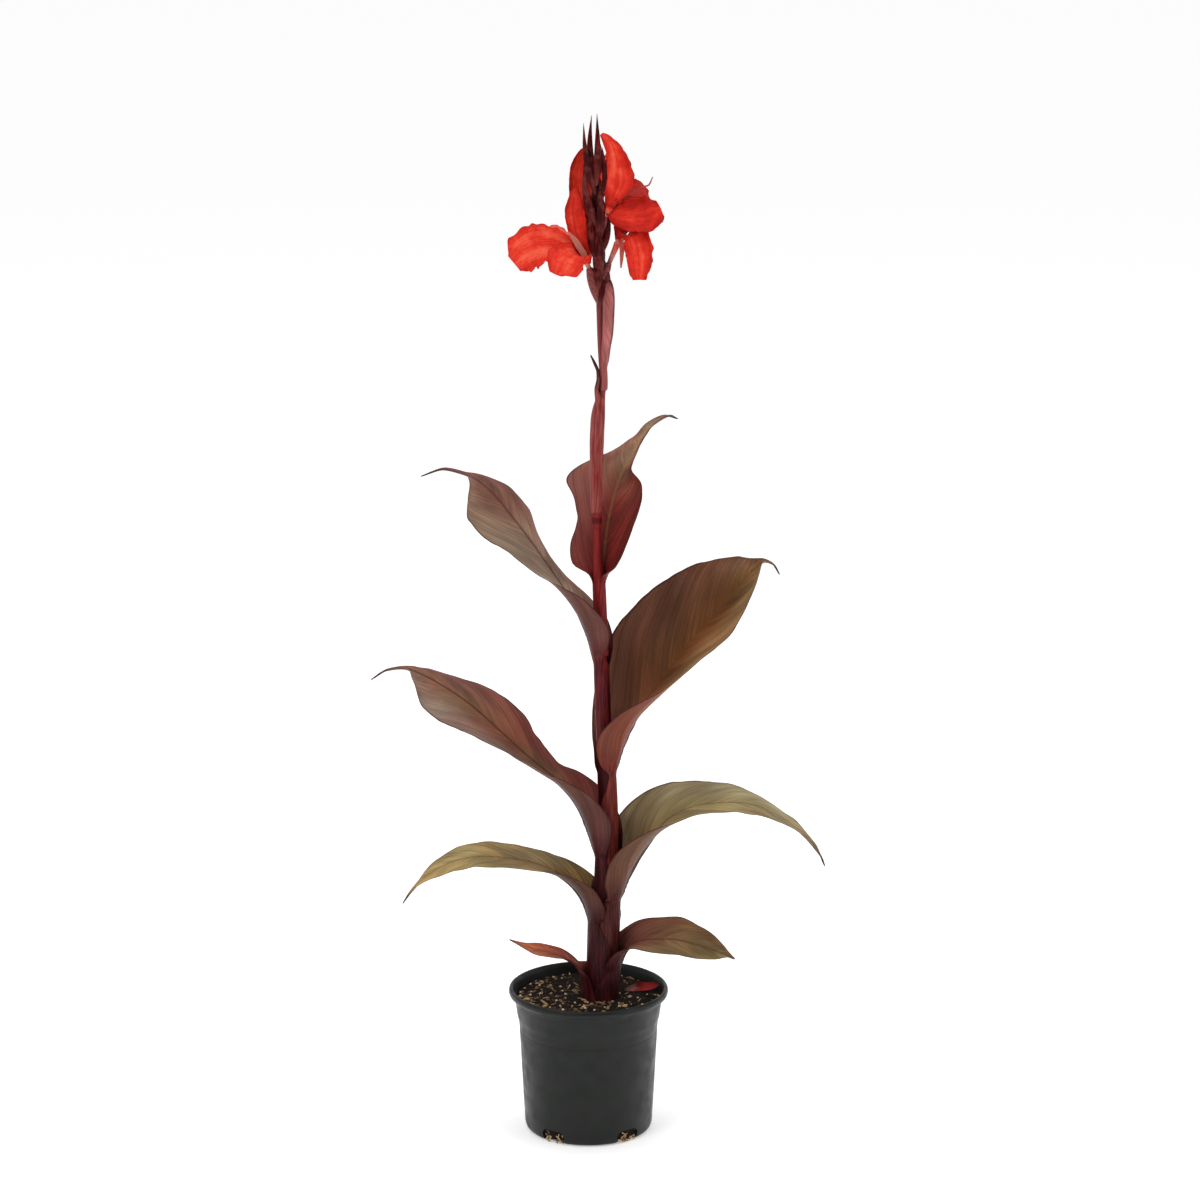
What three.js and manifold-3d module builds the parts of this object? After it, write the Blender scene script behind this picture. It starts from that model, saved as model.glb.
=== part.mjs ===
// A bronze-leaved canna lily in a nursery pot, in millimetres, +Z up.
// The origin is the middle of the pot's underside, where the plant stands.
//
// The plant is a jointed stem with eight leaves. Each leaf's foot is a sheath rolled round the stem and round
// the sheaths of the younger leaves inside it. Higher up the sheath opens at a notch, its near margin folds
// across the stem as a flap, and the blade arches out to a drawn-out tip. Two bracts sheathe the flower
// stalk, and four blooms and a tuft of pointed buds stand on its end.

import * as THREE from 'three';
import { mergeVertices } from 'three/addons/utils/BufferGeometryUtils.js';
import Module from 'manifold-3d';

const wasm = await Module();
wasm.setup();

// Driving dimensions

const GAP = 0.3;                 // clearance between pieces that touch
const POT = {
  height: 152,
  rim: 82.5,                     // outer radius of the rolled rim
  foot: 66,                      // outer radius at the ground
  wall: 1.6,
  floor: 2,
  sides: 36,
  drains: 5,
  drainWidth: 26,
  drainSill: -1,                 // below the ground, so that a drain is open at the foot's edge
  drainTop: 14,
  drainRound: 6,
  drainReach: 8,                 // how far a drain's cut reaches to each side of the wall
  drainTurn: 38,                 // degrees from -Y to the first drain
};
const SOIL = {
  top: 141,
  relief: 1.6,                   // how far the surface rises and dips
  rings: 6,
  stones: 26,
  stoneSize: [2.4, 4.4],
  seed: 7,
};
const GOLDEN_ANGLE = 137.5;
const STALK_FOOT = 104;          // how deep the stem and the outer sheaths stand in the soil
const SHEATH_STEP = 34;          // greatest distance between sections along a sheath
const SHEATH_TURN = 14;          // greatest change of its wrap between them, in degrees
const STEM_STEP = 36;            // distance between sections along the bare stem
const STEM_SIDES = 8;
const HOLE_SIDES = 24;
const BUD_SIDES = 6;
const BLADE_EDGE = 0.7;          // thickness of a leaf at its margin
const PETAL_EDGE = 0.6;
const RIB_HALF_WIDTH = 4;        // how far a midrib's ridge spreads to each side
const SHEATH_WRAP = 300;         // a section that wraps at least this many degrees is all sheath
const FLAT_WRAP = 220;           // a margin waves only on a section that wraps less than this
const WAVING_WIDTH = 20;         // a blade narrower than this waves less
const MARGIN_LAG = 50;           // degrees between the waves of a blade's two margins

// Where the strips of an open section lie along its width, from the right margin at -1 to the left at 1:
// the middle ones hug the midrib.
const BLADE_STRIPS = [-1, -0.75, -0.4, -0.08, 0, 0.08, 0.4, 0.75, 1];
const PETAL_STRIPS = [-1, -0.66, -0.33, 0, 0.33, 0.66, 1];

// The stem's axis, [x, y, z], from the soil to the top of the flower spike.
const AXIS = [
  [13.5, 0, 80], [13.5, 0, 142], [17, 0, 222], [20, 0, 320], [18, 0, 388], [15, 0, 455], [13, 0, 525],
  [10.4, 0, 588], [8.9, 0, 622], [8.5, 0, 672], [9.3, 0, 725], [10.8, 0, 755], [13.2, 0, 771], [15, 0, 787],
  [13, 0, 822], [11.4, 0, 868], [10.4, 0, 915], [9, 0, 960], [7, 0, 1015],
];
// The bare stem inside its sheaths: [height, radius], with a swelling at each joint.
const STEM = [
  [STALK_FOOT, 6.4], [150, 7.2], [200, 8.4], [230, 8.8], [330, 8.6], [384, 8.4], [394, 6.8], [495, 6.7],
  [500, 5.3], [588, 5.3], [602, 4.9], [616, 4.1], [636, 4.2], [644, 5.4], [652, 4.6], [668, 4.8], [695, 5.2],
  [728, 6.1], [748, 6.1], [761, 5.2], [770, 4.1], [778, 3.4], [820, 3.4], [868, 3.3], [915, 3.1], [960, 2.6],
  [1012, 1.2],
];

// Leaves and bracts, lowest first. heading is the compass angle of the midrib's plane, from +X towards +Y.
// near is the side, looking out along the leaf, whose margin folds across the front of the stem.
// The sheath runs from foot to notch, and margin lists [height, near wrap, far wrap] in degrees along it.
// A blade row is [out, side, up, roll, left width, left curl, right width, right curl, rib]: the midrib's
// place from the stem's axis, the roll of the section, each half's width and how many degrees it curls up,
// and the extra thickness of the rib. wave is [height, count, start in degrees] of the margins' waves.
const LEAVES = [
  {
    name: 'leaf_1_base_left', heading: 180, near: 'left', foot: STALK_FOOT, notch: 156, wall: 0.9,
    margin: [[STALK_FOOT, 100, 110], [156, 60, 78]],
    blade: [
      [22, 0, 166, 0, 20, 52, 27, 70, 1],
      [26, 0, 174, 0, 13, 28, 13, 28, 2],
      [34, 0, 181, -6, 9, 40, 9, 40, 1.8],
      [48, 0, 187, -16, 11, 24, 10, 24, 1.4],
      [64, 0, 191, -18, 11, 20, 10, 20, 1],
      [82, 0, 196.5, -10, 6, 20, 6, 20, 0.7],
      [95, 0, 203, 0, 0.6, 20, 0.6, 20, 0.4],
    ],
    wave: [1, 2, 0],
  },
  {
    name: 'leaf_2_base_right', heading: -5, near: 'right', foot: STALK_FOOT, notch: 172, wall: 1,
    margin: [[STALK_FOOT, 160, 170], [140, 130, 170], [172, 70, 165]],
    blade: [
      [19.6, 0, 180, 0, 44, 128, 25, 74, 1.5],
      [22.5, 0, 190, 6, 26, 70, 24, 64, 2.6],
      [31, 0, 199, 18, 23, 50, 22, 46, 2.6],
      [48, 0, 204, 27, 27, 26, 24, 24, 2],
      [72, 0, 205, 27, 30, 18, 26, 18, 1.6],
      [97, 0, 200, 24, 25, 18, 24, 18, 1.3],
      [119, 0, 193, 20, 14, 20, 16, 20, 1],
      [131, 0, 188.5, 10, 4.5, 40, 4.5, 40, 0.8],
      [137, 0, 186, 0, 0.6, 20, 0.6, 20, 0.4],
    ],
    wave: [1.2, 2, 40],
  },
  {
    name: 'leaf_3_lower_left', heading: 175, near: 'left', foot: STALK_FOOT, notch: 222, wall: 1,
    margin: [[STALK_FOOT, 165, 170], [176, 155, 170], [206, 105, 170], [222, 72, 165]],
    blade: [
      [17.8, 0, 232, 0, 30, 88, 44, 130, 2],
      [21, 0, 243, 0, 34, 92, 38, 100, 3],
      [27, 0, 254, 0, 33, 92, 33, 74, 3.5],
      [36, 0, 264, -2, 30, 72, 31, 52, 3.5],
      [50, 0, 274, -6, 27, 44, 28, 32, 3.2],
      [72, 0, 283, -9, 26, 14, 27, 12, 2.6],
      [100, 0, 288, -10, 27, 7, 27, 7, 2.1],
      [126, 0, 289, -11, 26, 7, 26, 7, 1.7],
      [150, 0, 285, -12, 23, 7, 23, 7, 1.4],
      [172, 0, 275, -12, 18, 8, 18, 8, 1.2],
      [190, 0, 261, -8, 11, 12, 11, 12, 1],
      [202, 0, 247.5, 0, 4, 40, 4, 40, 0.8],
      [210, 0, 236, 0, 0.6, 30, 0.6, 30, 0.4],
    ],
    wave: [1.5, 3, 0],
  },
  {
    name: 'leaf_4_lower_right', heading: 5, near: 'right', foot: STALK_FOOT, notch: 244, wall: 1,
    margin: [[STALK_FOOT, 165, 170], [200, 160, 170], [222, 150, 170], [244, 112, 170]],
    blade: [
      [16.6, 0, 253, 0, 44, 152, 28, 84, 2],
      [21, 0, 267, 0, 42, 112, 36, 98, 3],
      [29, 0, 285, 0, 46, 92, 42, 102, 4],
      [40, 0, 303, 3, 52, 76, 46, 92, 4],
      [53, 0, 320, 8, 54, 56, 46, 66, 3.6],
      [70, 0, 335, 9, 50, 34, 44, 34, 3],
      [96, 0, 345, 7, 44, 20, 42, 20, 2.4],
      [124, 0, 347, 7, 40, 14, 38, 12, 2],
      [150, 0, 344, 7, 34, 8, 33, 8, 1.6],
      [175, 0, 333, 6, 25, 8, 23, 8, 1.3],
      [197, 0, 317, 4, 15, 20, 13, 20, 1.1],
      [213, 0, 300, 0, 7, 40, 6, 40, 0.9],
      [222, 0, 287, 0, 3, 70, 3, 70, 0.8],
      [227, 0, 276, 0, 0.6, 40, 0.6, 40, 0.4],
    ],
    wave: [1.5, 3, 90],
  },
  {
    name: 'leaf_5_middle_left', heading: 165, near: 'left', foot: STALK_FOOT, notch: 290, wall: 1,
    margin: [[STALK_FOOT, 165, 170], [250, 160, 170], [274, 130, 170], [290, 100, 170]],
    blade: [
      [14.2, 0, 302, 0, 27, 106, 42, 164, 2],
      [18, 0, 316, 0, 37, 118, 42, 134, 3],
      [24, 0, 333, 0, 46, 118, 42, 96, 4],
      [34, 0, 351, 0, 43, 102, 38, 72, 4],
      [48, 0, 366, -2, 36, 66, 31, 44, 3.8],
      [64, 0, 378, -6, 33, 44, 24, 20, 3.4],
      [92, 0, 399, -17, 40, 50, 29, 16, 2.8],
      [112, 0, 416, -19, 44, 36, 38, 14, 2.5],
      [146, 0, 444, -18, 43, -4, 40, -10, 2],
      [176, 0, 462, -18, 36, -28, 31, -26, 1.6],
      [200, 0, 473, -12, 17, 0, 14, 0, 1.3],
      [216, 0, 477, 0, 5, 70, 5, 70, 1],
      [234, 0, 474, 0, 3.4, 70, 3.4, 70, 0.8],
      [252, 0, 463, 0, 0.6, 40, 0.6, 40, 0.4],
    ],
    wave: [2, 3, 30],
  },
  {
    name: 'leaf_6_middle_right', heading: 15, near: 'right', foot: 282, notch: 380, wall: 1,
    margin: [[282, 165, 170], [340, 160, 170], [366, 110, 170], [380, 84, 165]],
    blade: [
      [11, 0, 390, 0, 31, 158, 25, 128, 2],
      [14, 0, 403, 0, 34, 142, 36, 148, 3],
      [20, 0, 419, 0, 42, 116, 46, 140, 4],
      [30, 0, 438, 4, 53, 94, 50, 112, 4],
      [43, 0, 457, 12, 63, 78, 55, 84, 3.6],
      [58, 0, 477, 21, 70, 70, 46, 60, 3.2],
      [80, 0, 505, 28, 74, 70, 44, 44, 2.8],
      [108, 0, 535, 28, 68, 62, 46, 28, 2.2],
      [137, 0, 567, 24, 50, 52, 37, 34, 1.6],
      [156, 0, 586, 18, 24, 44, 20, 44, 1.2],
      [166, 0, 593, 6, 6, 70, 6, 70, 1],
      [175, 0, 590, 0, 4, 70, 4, 70, 0.8],
      [183, 0, 579, 0, 0.6, 60, 0.6, 60, 0.4],
    ],
    wave: [1.5, 3, 60],
  },
  {
    name: 'leaf_7_upper_left', heading: 160, near: 'left', foot: 400, notch: 494, wall: 0.9,
    margin: [[400, 165, 170], [464, 160, 170], [482, 136, 170], [494, 106, 170]],
    blade: [
      [9.2, 0, 505, 0, 19, 116, 27, 166, 1.6],
      [12, 0, 518, 0, 31, 132, 28, 128, 2.4],
      [18.5, 0, 536, 0, 43, 128, 29, 92, 3],
      [28, 0, 554, -4, 43, 108, 23, 52, 3],
      [43, 0, 575, -8, 37, 62, 18, 10, 2.8],
      [60, 0, 597, -12, 33, 14, 15, -4, 2.5],
      [77, 0, 619, -20, 35, -4, 18, -16, 2.2],
      [96, 0, 641, -32, 40, -16, 27, -26, 1.9],
      [112, 0, 659, -36, 38, -36, 27, -40, 1.6],
      [127, 0, 672, -30, 24, -34, 18, -30, 1.3],
      [139, 0, 679.5, -14, 9, 20, 8, 10, 1],
      [150, 0, 682.5, 0, 4.2, 70, 4.2, 70, 0.8],
      [170, 0, 685.5, 0, 4, 70, 4, 70, 0.7],
      [196, 0, 677, 0, 0.6, 40, 0.6, 40, 0.4],
    ],
    wave: [2, 3, 0],
  },
  {
    name: 'leaf_8_upper_back', heading: 60, near: 'right', foot: 506, notch: 580, wall: 0.9,
    margin: [[506, 165, 170], [560, 160, 170], [580, 130, 150]],
    blade: [
      [7.2, 0, 590, 0, 20, 126, 22, 122, 1.6],
      [8.5, 0, 600, 0, 34, 84, 36, 84, 2],
      [12, 0, 617, 0, 36, 54, 44, 64, 2.4],
      [17, 0, 636, 0, 33, 44, 42, 44, 2.2],
      [25, 0, 656, 0, 41, 18, 43, 40, 2],
      [36, 0, 674, 2, 57, 2, 38, 46, 1.8],
      [48, 0, 688, 2, 44, 4, 15, 50, 1.6],
      [61, 0, 700, 2, 25, 10, 13, 50, 1.4],
      [74, 0, 710, 2, 12, 40, 10, 60, 1.2],
      [88, 0, 716.5, 0, 6, 60, 6, 60, 1],
      [106, 0, 724, 0, 5.4, 70, 5.4, 70, 0.9],
      [138, 0, 728, 0, 3.8, 70, 3.8, 70, 0.7],
      [162, 0, 722, 0, 0.6, 50, 0.6, 50, 0.4],
    ],
    wave: [4, 4, 200],
  },
  {
    name: 'bract_1_stalk', heading: 175, near: 'left', foot: 654, notch: 768, wall: 0.9,
    margin: [[654, 168, 170], [695, 166, 168], [728, 164, 166], [748, 162, 164], [761, 156, 158], [768, 140, 140]],
    blade: [
      [5.2, 0, 778, 0, 8, 66, 8, 66, 0.6],
      [2.8, 0, 790, 0, 5, 56, 5, 56, 0.9],
      [3, 0, 797, 0, 3.4, 45, 3.4, 45, 0.9],
      [5.8, 0, 805, 0, 2.6, 50, 2.6, 50, 0.9],
      [9.8, 0, 814, 0, 0.6, 40, 0.6, 40, 0.4],
    ],
    wave: [0, 1, 0],
  },
  {
    name: 'bract_2_spathe', heading: -5, near: 'right', foot: 779, notch: 800, wall: 0.9,
    margin: [[779, 110, 118], [800, 100, 110]],
    blade: [
      [5.4, 0, 810, 0, 9, 104, 9, 104, 0.6],
      [6.9, 0, 822, 0, 11, 104, 11, 104, 0.6],
      [9.3, 0, 836, 0, 13, 106, 13, 106, 0.6],
      [10.5, 0, 853, 0, 14, 110, 14, 110, 0.5],
      [11, 0, 868, 0, 14.5, 112, 14.5, 112, 0.5],
      [10.5, 0, 878, 0, 12.5, 114, 12.5, 114, 0.4],
      [8.8, 0, 886, 0, 8, 120, 8, 120, 0.4],
      [7.2, 0, 890, 0, 0.8, 40, 0.8, 40, 0.3],
    ],
    wave: [0, 1, 0],
  },
];

// Blooms. joint is the height on the axis that the ovary grows from, seat is where the petals stand on it,
// and axis is the way the corolla tube runs. A petal's rows are as a blade's, measured from the seat.
const BLOOMS = [
  {
    name: 'bloom_1_left_lower',
    joint: 866,
    seat: [1.5, -5, 902],
    ovary: 5.6,
    axis: [-0.55, -0.15, 1],
    tube: 12,
    petals: [
      {
        heading: 186, wave: [2, 4, 20],
        rows: [
          [3, 0, 5, -30, 3, 50, 3, 50, 0.6],
          [12, 0, 14, -46, 8, 44, 7, 40, 0.5],
          [25, 0, 22, -58, 13, 30, 12, 30, 0.4],
          [42, 0, 25, -64, 20, 24, 19, 26, 0.3],
          [58, 0, 22, -64, 23, 18, 22, 22, 0.2],
          [70, 0, 15, -62, 22, 12, 17, 20, 0.2],
          [77, 0, 9, -60, 17, 10, 6, 10, 0.2],
        ],
      },
      {
        heading: 230, wave: [2, 3, 90],
        rows: [
          [2, 0, 5, 0, 3.5, 60, 3.5, 60, 0.6],
          [12, 0, 13, -14, 12, 60, 9, 50, 0.5],
          [24, 0, 17, -24, 20, 46, 15, 40, 0.4],
          [37, 0, 14, -30, 24, 36, 17, 30, 0.3],
          [46, 0, 5, -34, 19, 20, 13, 20, 0.2],
          [50, 0, 0, -34, 7, 10, 7, 10, 0.2],
        ],
      },
      {
        heading: 112, wave: [1.5, 3, 0],
        rows: [
          [2, 1, 6, 0, 3, 50, 3, 50, 0.6],
          [5, 6, 20, 0, 7, 44, 9, 40, 0.5],
          [8, 12, 40, 0, 10, 36, 12, 36, 0.4],
          [9, 14, 60, 0, 9, 30, 11, 30, 0.3],
          [7, 13, 74, 0, 6, 30, 6, 30, 0.2],
          [5, 12, 82, 0, 2, 20, 2, 20, 0.2],
        ],
      },
      {
        heading: 150, wave: [2, 3, 60],
        rows: [
          [3, 0, 5, 10, 3, 50, 3, 50, 0.6],
          [16, 0, 18, 10, 9, 40, 9, 40, 0.5],
          [32, 0, 30, 6, 16, 30, 16, 30, 0.4],
          [50, 0, 33, 0, 18, 24, 18, 24, 0.3],
          [62, 0, 27, 0, 9, 20, 9, 20, 0.2],
        ],
      },
      {
        heading: 196, wave: [0, 1, 0],
        rows: [
          [4, 0, 4, 0, 2.5, 60, 2.5, 60, 0.5],
          [9, 0, 14, -20, 4.5, 50, 4.5, 50, 0.4],
          [16, 0, 25, -30, 4, 40, 4, 40, 0.3],
          [22, 0, 35, -30, 0.8, 20, 0.8, 20, 0.2],
        ],
      },
    ],
  },
  {
    name: 'bloom_2_left_upper',
    joint: 912,
    seat: [3, 6, 936],
    ovary: 4,
    axis: [-0.4, 0.2, 1],
    tube: 10,
    petals: [
      {
        heading: 100, wave: [1.2, 3, 0],
        rows: [
          [2, 2, 5, 0, 3, 40, 3, 40, 0.6],
          [4, 9, 20, 0, 8, 50, 7, 50, 0.5],
          [6, 13, 42, 0, 10, 54, 9, 50, 0.4],
          [6, 12, 63, 0, 10, 54, 9, 50, 0.3],
          [3, 8, 79, 0, 5, 40, 5, 40, 0.2],
          [1, 5, 85, 0, 1.2, 30, 1.2, 30, 0.2],
        ],
      },
      {
        heading: 60, wave: [1.2, 3, 90],
        rows: [
          [2, 1, 5, 0, 3, 40, 3, 40, 0.6],
          [6, 3, 22, 0, 8, 50, 8, 50, 0.5],
          [9, 4, 46, 0, 9, 50, 9, 50, 0.4],
          [7, 4, 66, 0, 6, 50, 6, 50, 0.3],
          [5, 4, 76, 0, 1, 30, 1, 30, 0.2],
        ],
      },
      {
        heading: 170, wave: [0, 1, 0],
        rows: [
          [3, 0, 3, 0, 2.5, 60, 2.5, 60, 0.5],
          [7, 0, 12, 0, 4, 50, 4, 50, 0.4],
          [14, 0, 24, 0, 3.4, 40, 3.4, 40, 0.3],
          [17, 0, 34, 0, 0.8, 20, 0.8, 20, 0.2],
        ],
      },
    ],
  },
  {
    name: 'bloom_3_right_upper',
    joint: 932,
    seat: [17, -6, 954],
    ovary: 4,
    axis: [0.5, -0.2, 1],
    tube: 10,
    petals: [
      {
        heading: 80, wave: [1.8, 3, 0],
        rows: [
          [2, -2, 5, 0, 3, 40, 3, 40, 0.6],
          [4, -7, 18, 0, 9, 40, 9, 40, 0.5],
          [6, -11, 35, 0, 17, 34, 19, 30, 0.4],
          [8, -11, 51, 0, 15, 34, 15, 30, 0.3],
          [6, -8, 66, 0, 9, 30, 9, 30, 0.25],
          [2, -1, 77, 0, 6, 30, 6, 30, 0.2],
          [0, 4, 81, 0, 2, 20, 2, 20, 0.2],
        ],
      },
      {
        heading: -12, wave: [2, 4, 0],
        rows: [
          [-2, 0, 8, 40, 7, 30, 3, 50, 0.6],
          [5, 0, 5, 50, 11, 34, 8, 40, 0.5],
          [17, 0, 1, 56, 18, 26, 17, 30, 0.4],
          [36, 0, 1, 60, 19, 18, 19, 24, 0.3],
          [48, 0, 4, 60, 20, 16, 18, 20, 0.25],
          [56, 0, 9, 58, 9, 10, 9, 10, 0.2],
        ],
      },
      {
        heading: 32, wave: [1.8, 3, 50],
        rows: [
          [2, 0, 5, 20, 3, 50, 3, 50, 0.6],
          [14, 0, 15, 34, 9, 40, 9, 40, 0.5],
          [29, 0, 22, 40, 15, 30, 15, 30, 0.4],
          [43, 0, 22, 40, 13, 24, 13, 24, 0.3],
          [51, 0, 17, 40, 5, 20, 5, 20, 0.2],
        ],
      },
      {
        heading: 8, wave: [0, 1, 0],
        rows: [
          [3, 0, 4, 0, 2.4, 60, 2.4, 60, 0.5],
          [20, 0, 20, 0, 2.6, 50, 2.6, 50, 0.4],
          [36, 0, 28, 0, 1.8, 50, 1.8, 50, 0.3],
          [43, 0, 30, 0, 1.4, 50, 1.4, 50, 0.3],
          [47, 0, 38, 0, 0.8, 20, 0.8, 20, 0.2],
        ],
      },
    ],
  },
  {
    name: 'bloom_4_right_lower',
    joint: 884,
    seat: [21, 3, 906],
    ovary: 4.4,
    axis: [0.42, 0.05, 1],
    tube: 22,
    petals: [
      {
        heading: -78, wave: [2, 4, 30],
        rows: [
          [2, 9, 20, 0, 3, 50, 3, 50, 0.6],
          [6, 15, 29, 0, 10, 44, 9, 40, 0.5],
          [13, 21, 27, 0, 16, 34, 14, 30, 0.4],
          [17, 25, 13, 0, 15, 24, 13, 24, 0.3],
          [18, 26, -3, 0, 13, 20, 11, 20, 0.25],
          [17, 26, -15, 0, 7, 10, 6, 10, 0.2],
        ],
      },
      {
        heading: 20, wave: [2, 3, 0],
        rows: [
          [10, 0, 20, 0, 3, 50, 3, 50, 0.6],
          [20, 0, 34, 10, 9, 40, 9, 40, 0.5],
          [33, 0, 45, 20, 15, 30, 15, 30, 0.4],
          [48, 0, 46, 20, 14, 24, 14, 24, 0.3],
          [56, 0, 40, 20, 6, 20, 6, 20, 0.2],
        ],
      },
      {
        heading: 85, wave: [2, 3, 80],
        rows: [
          [2, -9, 20, 0, 3, 50, 3, 50, 0.6],
          [9, -12, 34, 0, 9, 40, 9, 40, 0.5],
          [20, -16, 48, 0, 15, 30, 15, 30, 0.4],
          [34, -18, 54, 0, 14, 24, 14, 24, 0.3],
          [44, -18, 50, 0, 6, 20, 6, 20, 0.2],
        ],
      },
      {
        heading: -40, wave: [0, 1, 0],
        rows: [
          [8, 2, 19, 0, 2.4, 60, 2.4, 60, 0.5],
          [11, 3, 24, 0, 4, 50, 4, 50, 0.4],
          [13, 3, 12, 0, 3.6, 40, 3.6, 40, 0.3],
          [13, 3, -4, 0, 0.8, 20, 0.8, 20, 0.2],
        ],
      },
    ],
  },
];

// Closed buds and bracts on the spike: [foot height, heading, length, radius, lean in degrees].
const BUDS = [
  [975, 200, 72, 3.6, 10], [983, 165, 70, 3.8, 3], [984, -75, 71, 3.8, 1.5], [962, 60, 62, 4, 6],
  [942, 212, 66, 4.8, 13], [930, -65, 58, 5.2, 3], [925, 120, 60, 4.6, 8], [915, 20, 52, 5, 7],
  [908, 205, 60, 4.8, 6], [893, -95, 58, 6, 2], [896, 75, 50, 5, 4],
  [878, -110, 42, 5.2, 1.5], [880, 75, 40, 5, 3],
];

const TUBE_RADII = [2.2, 2.8, 3.6];

// Girth along a bud and along an ovary: [share of its length, share of its radius].
const BUD_SHAPE = [[0, 0.5], [0.25, 0.95], [0.6, 0.75], [1, 0.1]];
const OVARY_SHAPE = [[0, 0.5], [0.4, 1], [0.75, 0.95], [1, 0.55]];

// The petal lying on the soil, and its shape: [share of its length, share of its width, rise].
const FALLEN_PETAL = { middle: [54, 16, 143.8], heading: 4, roll: 34, length: 34, width: 6.5, curl: 20 };
const FALLEN_SHAPE = [[-0.5, 0.15, 0], [-0.3, 0.7, 0.6], [0, 1, 1], [0.3, 0.8, 0.8], [0.5, 0.12, 0.4]];

// Shared helpers

const radians = THREE.MathUtils.degToRad;
const smooth = s => s * s * (3 - 2 * s);
const UPRIGHT = new THREE.Vector3(0, 0, 1);
const compass = degrees => new THREE.Vector3(Math.cos(radians(degrees)), Math.sin(radians(degrees)), 0);

// A repeatable stream of numbers from 0 to 1.
function seeded(seed) {
  let state = seed;
  return () => {
    state = (state * 1664525 + 1013904223) % 4294967296;
    return state / 4294967296;
  };
}

// A smooth run through rows of numbers that never overshoots a row. t goes from 0 to rows.length - 1.
function flow(rows, t) {
  const last = rows.length - 1;
  const i = Math.min(Math.floor(t), last - 1);
  const s = t - i;
  const step = (k, c) => rows[k + 1][c] - rows[k][c];
  const slope = (k, c) => {
    if (k === 0) return step(0, c);
    if (k === last) return step(last - 1, c);
    const before = step(k - 1, c);
    const after = step(k, c);
    return before * after > 0 ? 2 * before * after / (before + after) : 0;
  };
  return rows[0].map((_, c) => {
    const a = rows[i][c];
    const b = rows[i + 1][c];
    return a * (1 + 2 * s) * (1 - s) ** 2 + b * s * s * (3 - 2 * s)
      + slope(i, c) * s * (1 - s) ** 2 - slope(i + 1, c) * s * s * (1 - s);
  });
}

// The same run looked up by a column that only rises.
function atHeight(rows, column, z) {
  let low = 0;
  let high = rows.length - 1;
  for (let k = 0; k < 40; k++) {
    const middle = (low + high) / 2;
    if (flow(rows, middle)[column] < z) low = middle;
    else high = middle;
  }
  return flow(rows, low);
}

function axisAt(z) {
  const [x, y] = atHeight(AXIS, 2, z);
  return new THREE.Vector3(x, y, z);
}

const stemRadius = z => atHeight(STEM, 0, z)[1];

// The radius of a sheath of flat strips that clears what it is rolled round.
const nest = inner => (inner + GAP) / Math.cos(radians(180 / (BLADE_STRIPS.length - 1)));

function solidOf(geometry) {
  const bare = geometry.index ? geometry.toNonIndexed() : geometry.clone();
  bare.deleteAttribute('normal');
  bare.deleteAttribute('uv');
  const merged = mergeVertices(bare, 1e-4);
  return new wasm.Manifold(new wasm.Mesh({
    numProp: 3,
    vertProperties: merged.getAttribute('position').array,
    triVerts: new Uint32Array(merged.index.array),
  }));
}

function geometryOf(solid) {
  const mesh = solid.getMesh();
  const geometry = new THREE.BufferGeometry();
  geometry.setAttribute('position', new THREE.BufferAttribute(Float32Array.from(mesh.vertProperties), 3));
  geometry.setIndex(new THREE.BufferAttribute(Uint32Array.from(mesh.triVerts), 1));
  geometry.computeVertexNormals();
  return geometry;
}

const larger = (a, b) => (b.volume() > a.volume() ? b : a);
const largest = solid => solid.decompose().reduce(larger);
const fuse = solids => solids.reduce((sum, next) => sum.add(next));

// A closed skin over rings of points: rings[i][j], each ring a loop, ends capped by a fan to their middle.
function skin(rings) {
  const sides = rings[0].length;
  const points = rings.flat();
  const faces = [];
  for (let i = 0; i + 1 < rings.length; i++) {
    for (let j = 0; j < sides; j++) {
      const a = i * sides + j;
      const b = i * sides + (j + 1) % sides;
      faces.push(a, b, b + sides, a, b + sides, a + sides);
    }
  }
  for (const [ring, start, turn] of [[rings[0], 0, 1], [rings.at(-1), (rings.length - 1) * sides, 0]]) {
    const middle = points.length;
    points.push(ring.reduce((sum, p) => sum.clone().add(p)).divideScalar(sides));
    for (let j = 0; j < sides; j++) {
      const a = start + j;
      const b = start + (j + 1) % sides;
      faces.push(middle, turn ? b : a, turn ? a : b);
    }
  }
  const geometry = new THREE.BufferGeometry().setFromPoints(points);
  geometry.setIndex(faces);
  return geometry;
}

// A tapering round limb through points, with a radius at each.
function limb(points, radii, sides) {
  const rings = points.map((point, i) => {
    const before = points[Math.max(i - 1, 0)];
    const after = points[Math.min(i + 1, points.length - 1)];
    const turn = new THREE.Quaternion().setFromUnitVectors(
      new THREE.Vector3(0, 0, 1), after.clone().sub(before).normalize());
    return Array.from({ length: sides }, (_, j) =>
      compass(360 * j / sides).multiplyScalar(radii[i]).applyQuaternion(turn).add(point));
  });
  return skin(rings);
}

// Leaves, bracts and petals

// How far a section is rolled up, from 0 on a flat blade to 1 where it wraps a whole number of degrees.
const wrapOf = (row, whole) => Math.min(1, Math.abs(row[5] + row[7]) / whole);

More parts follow.
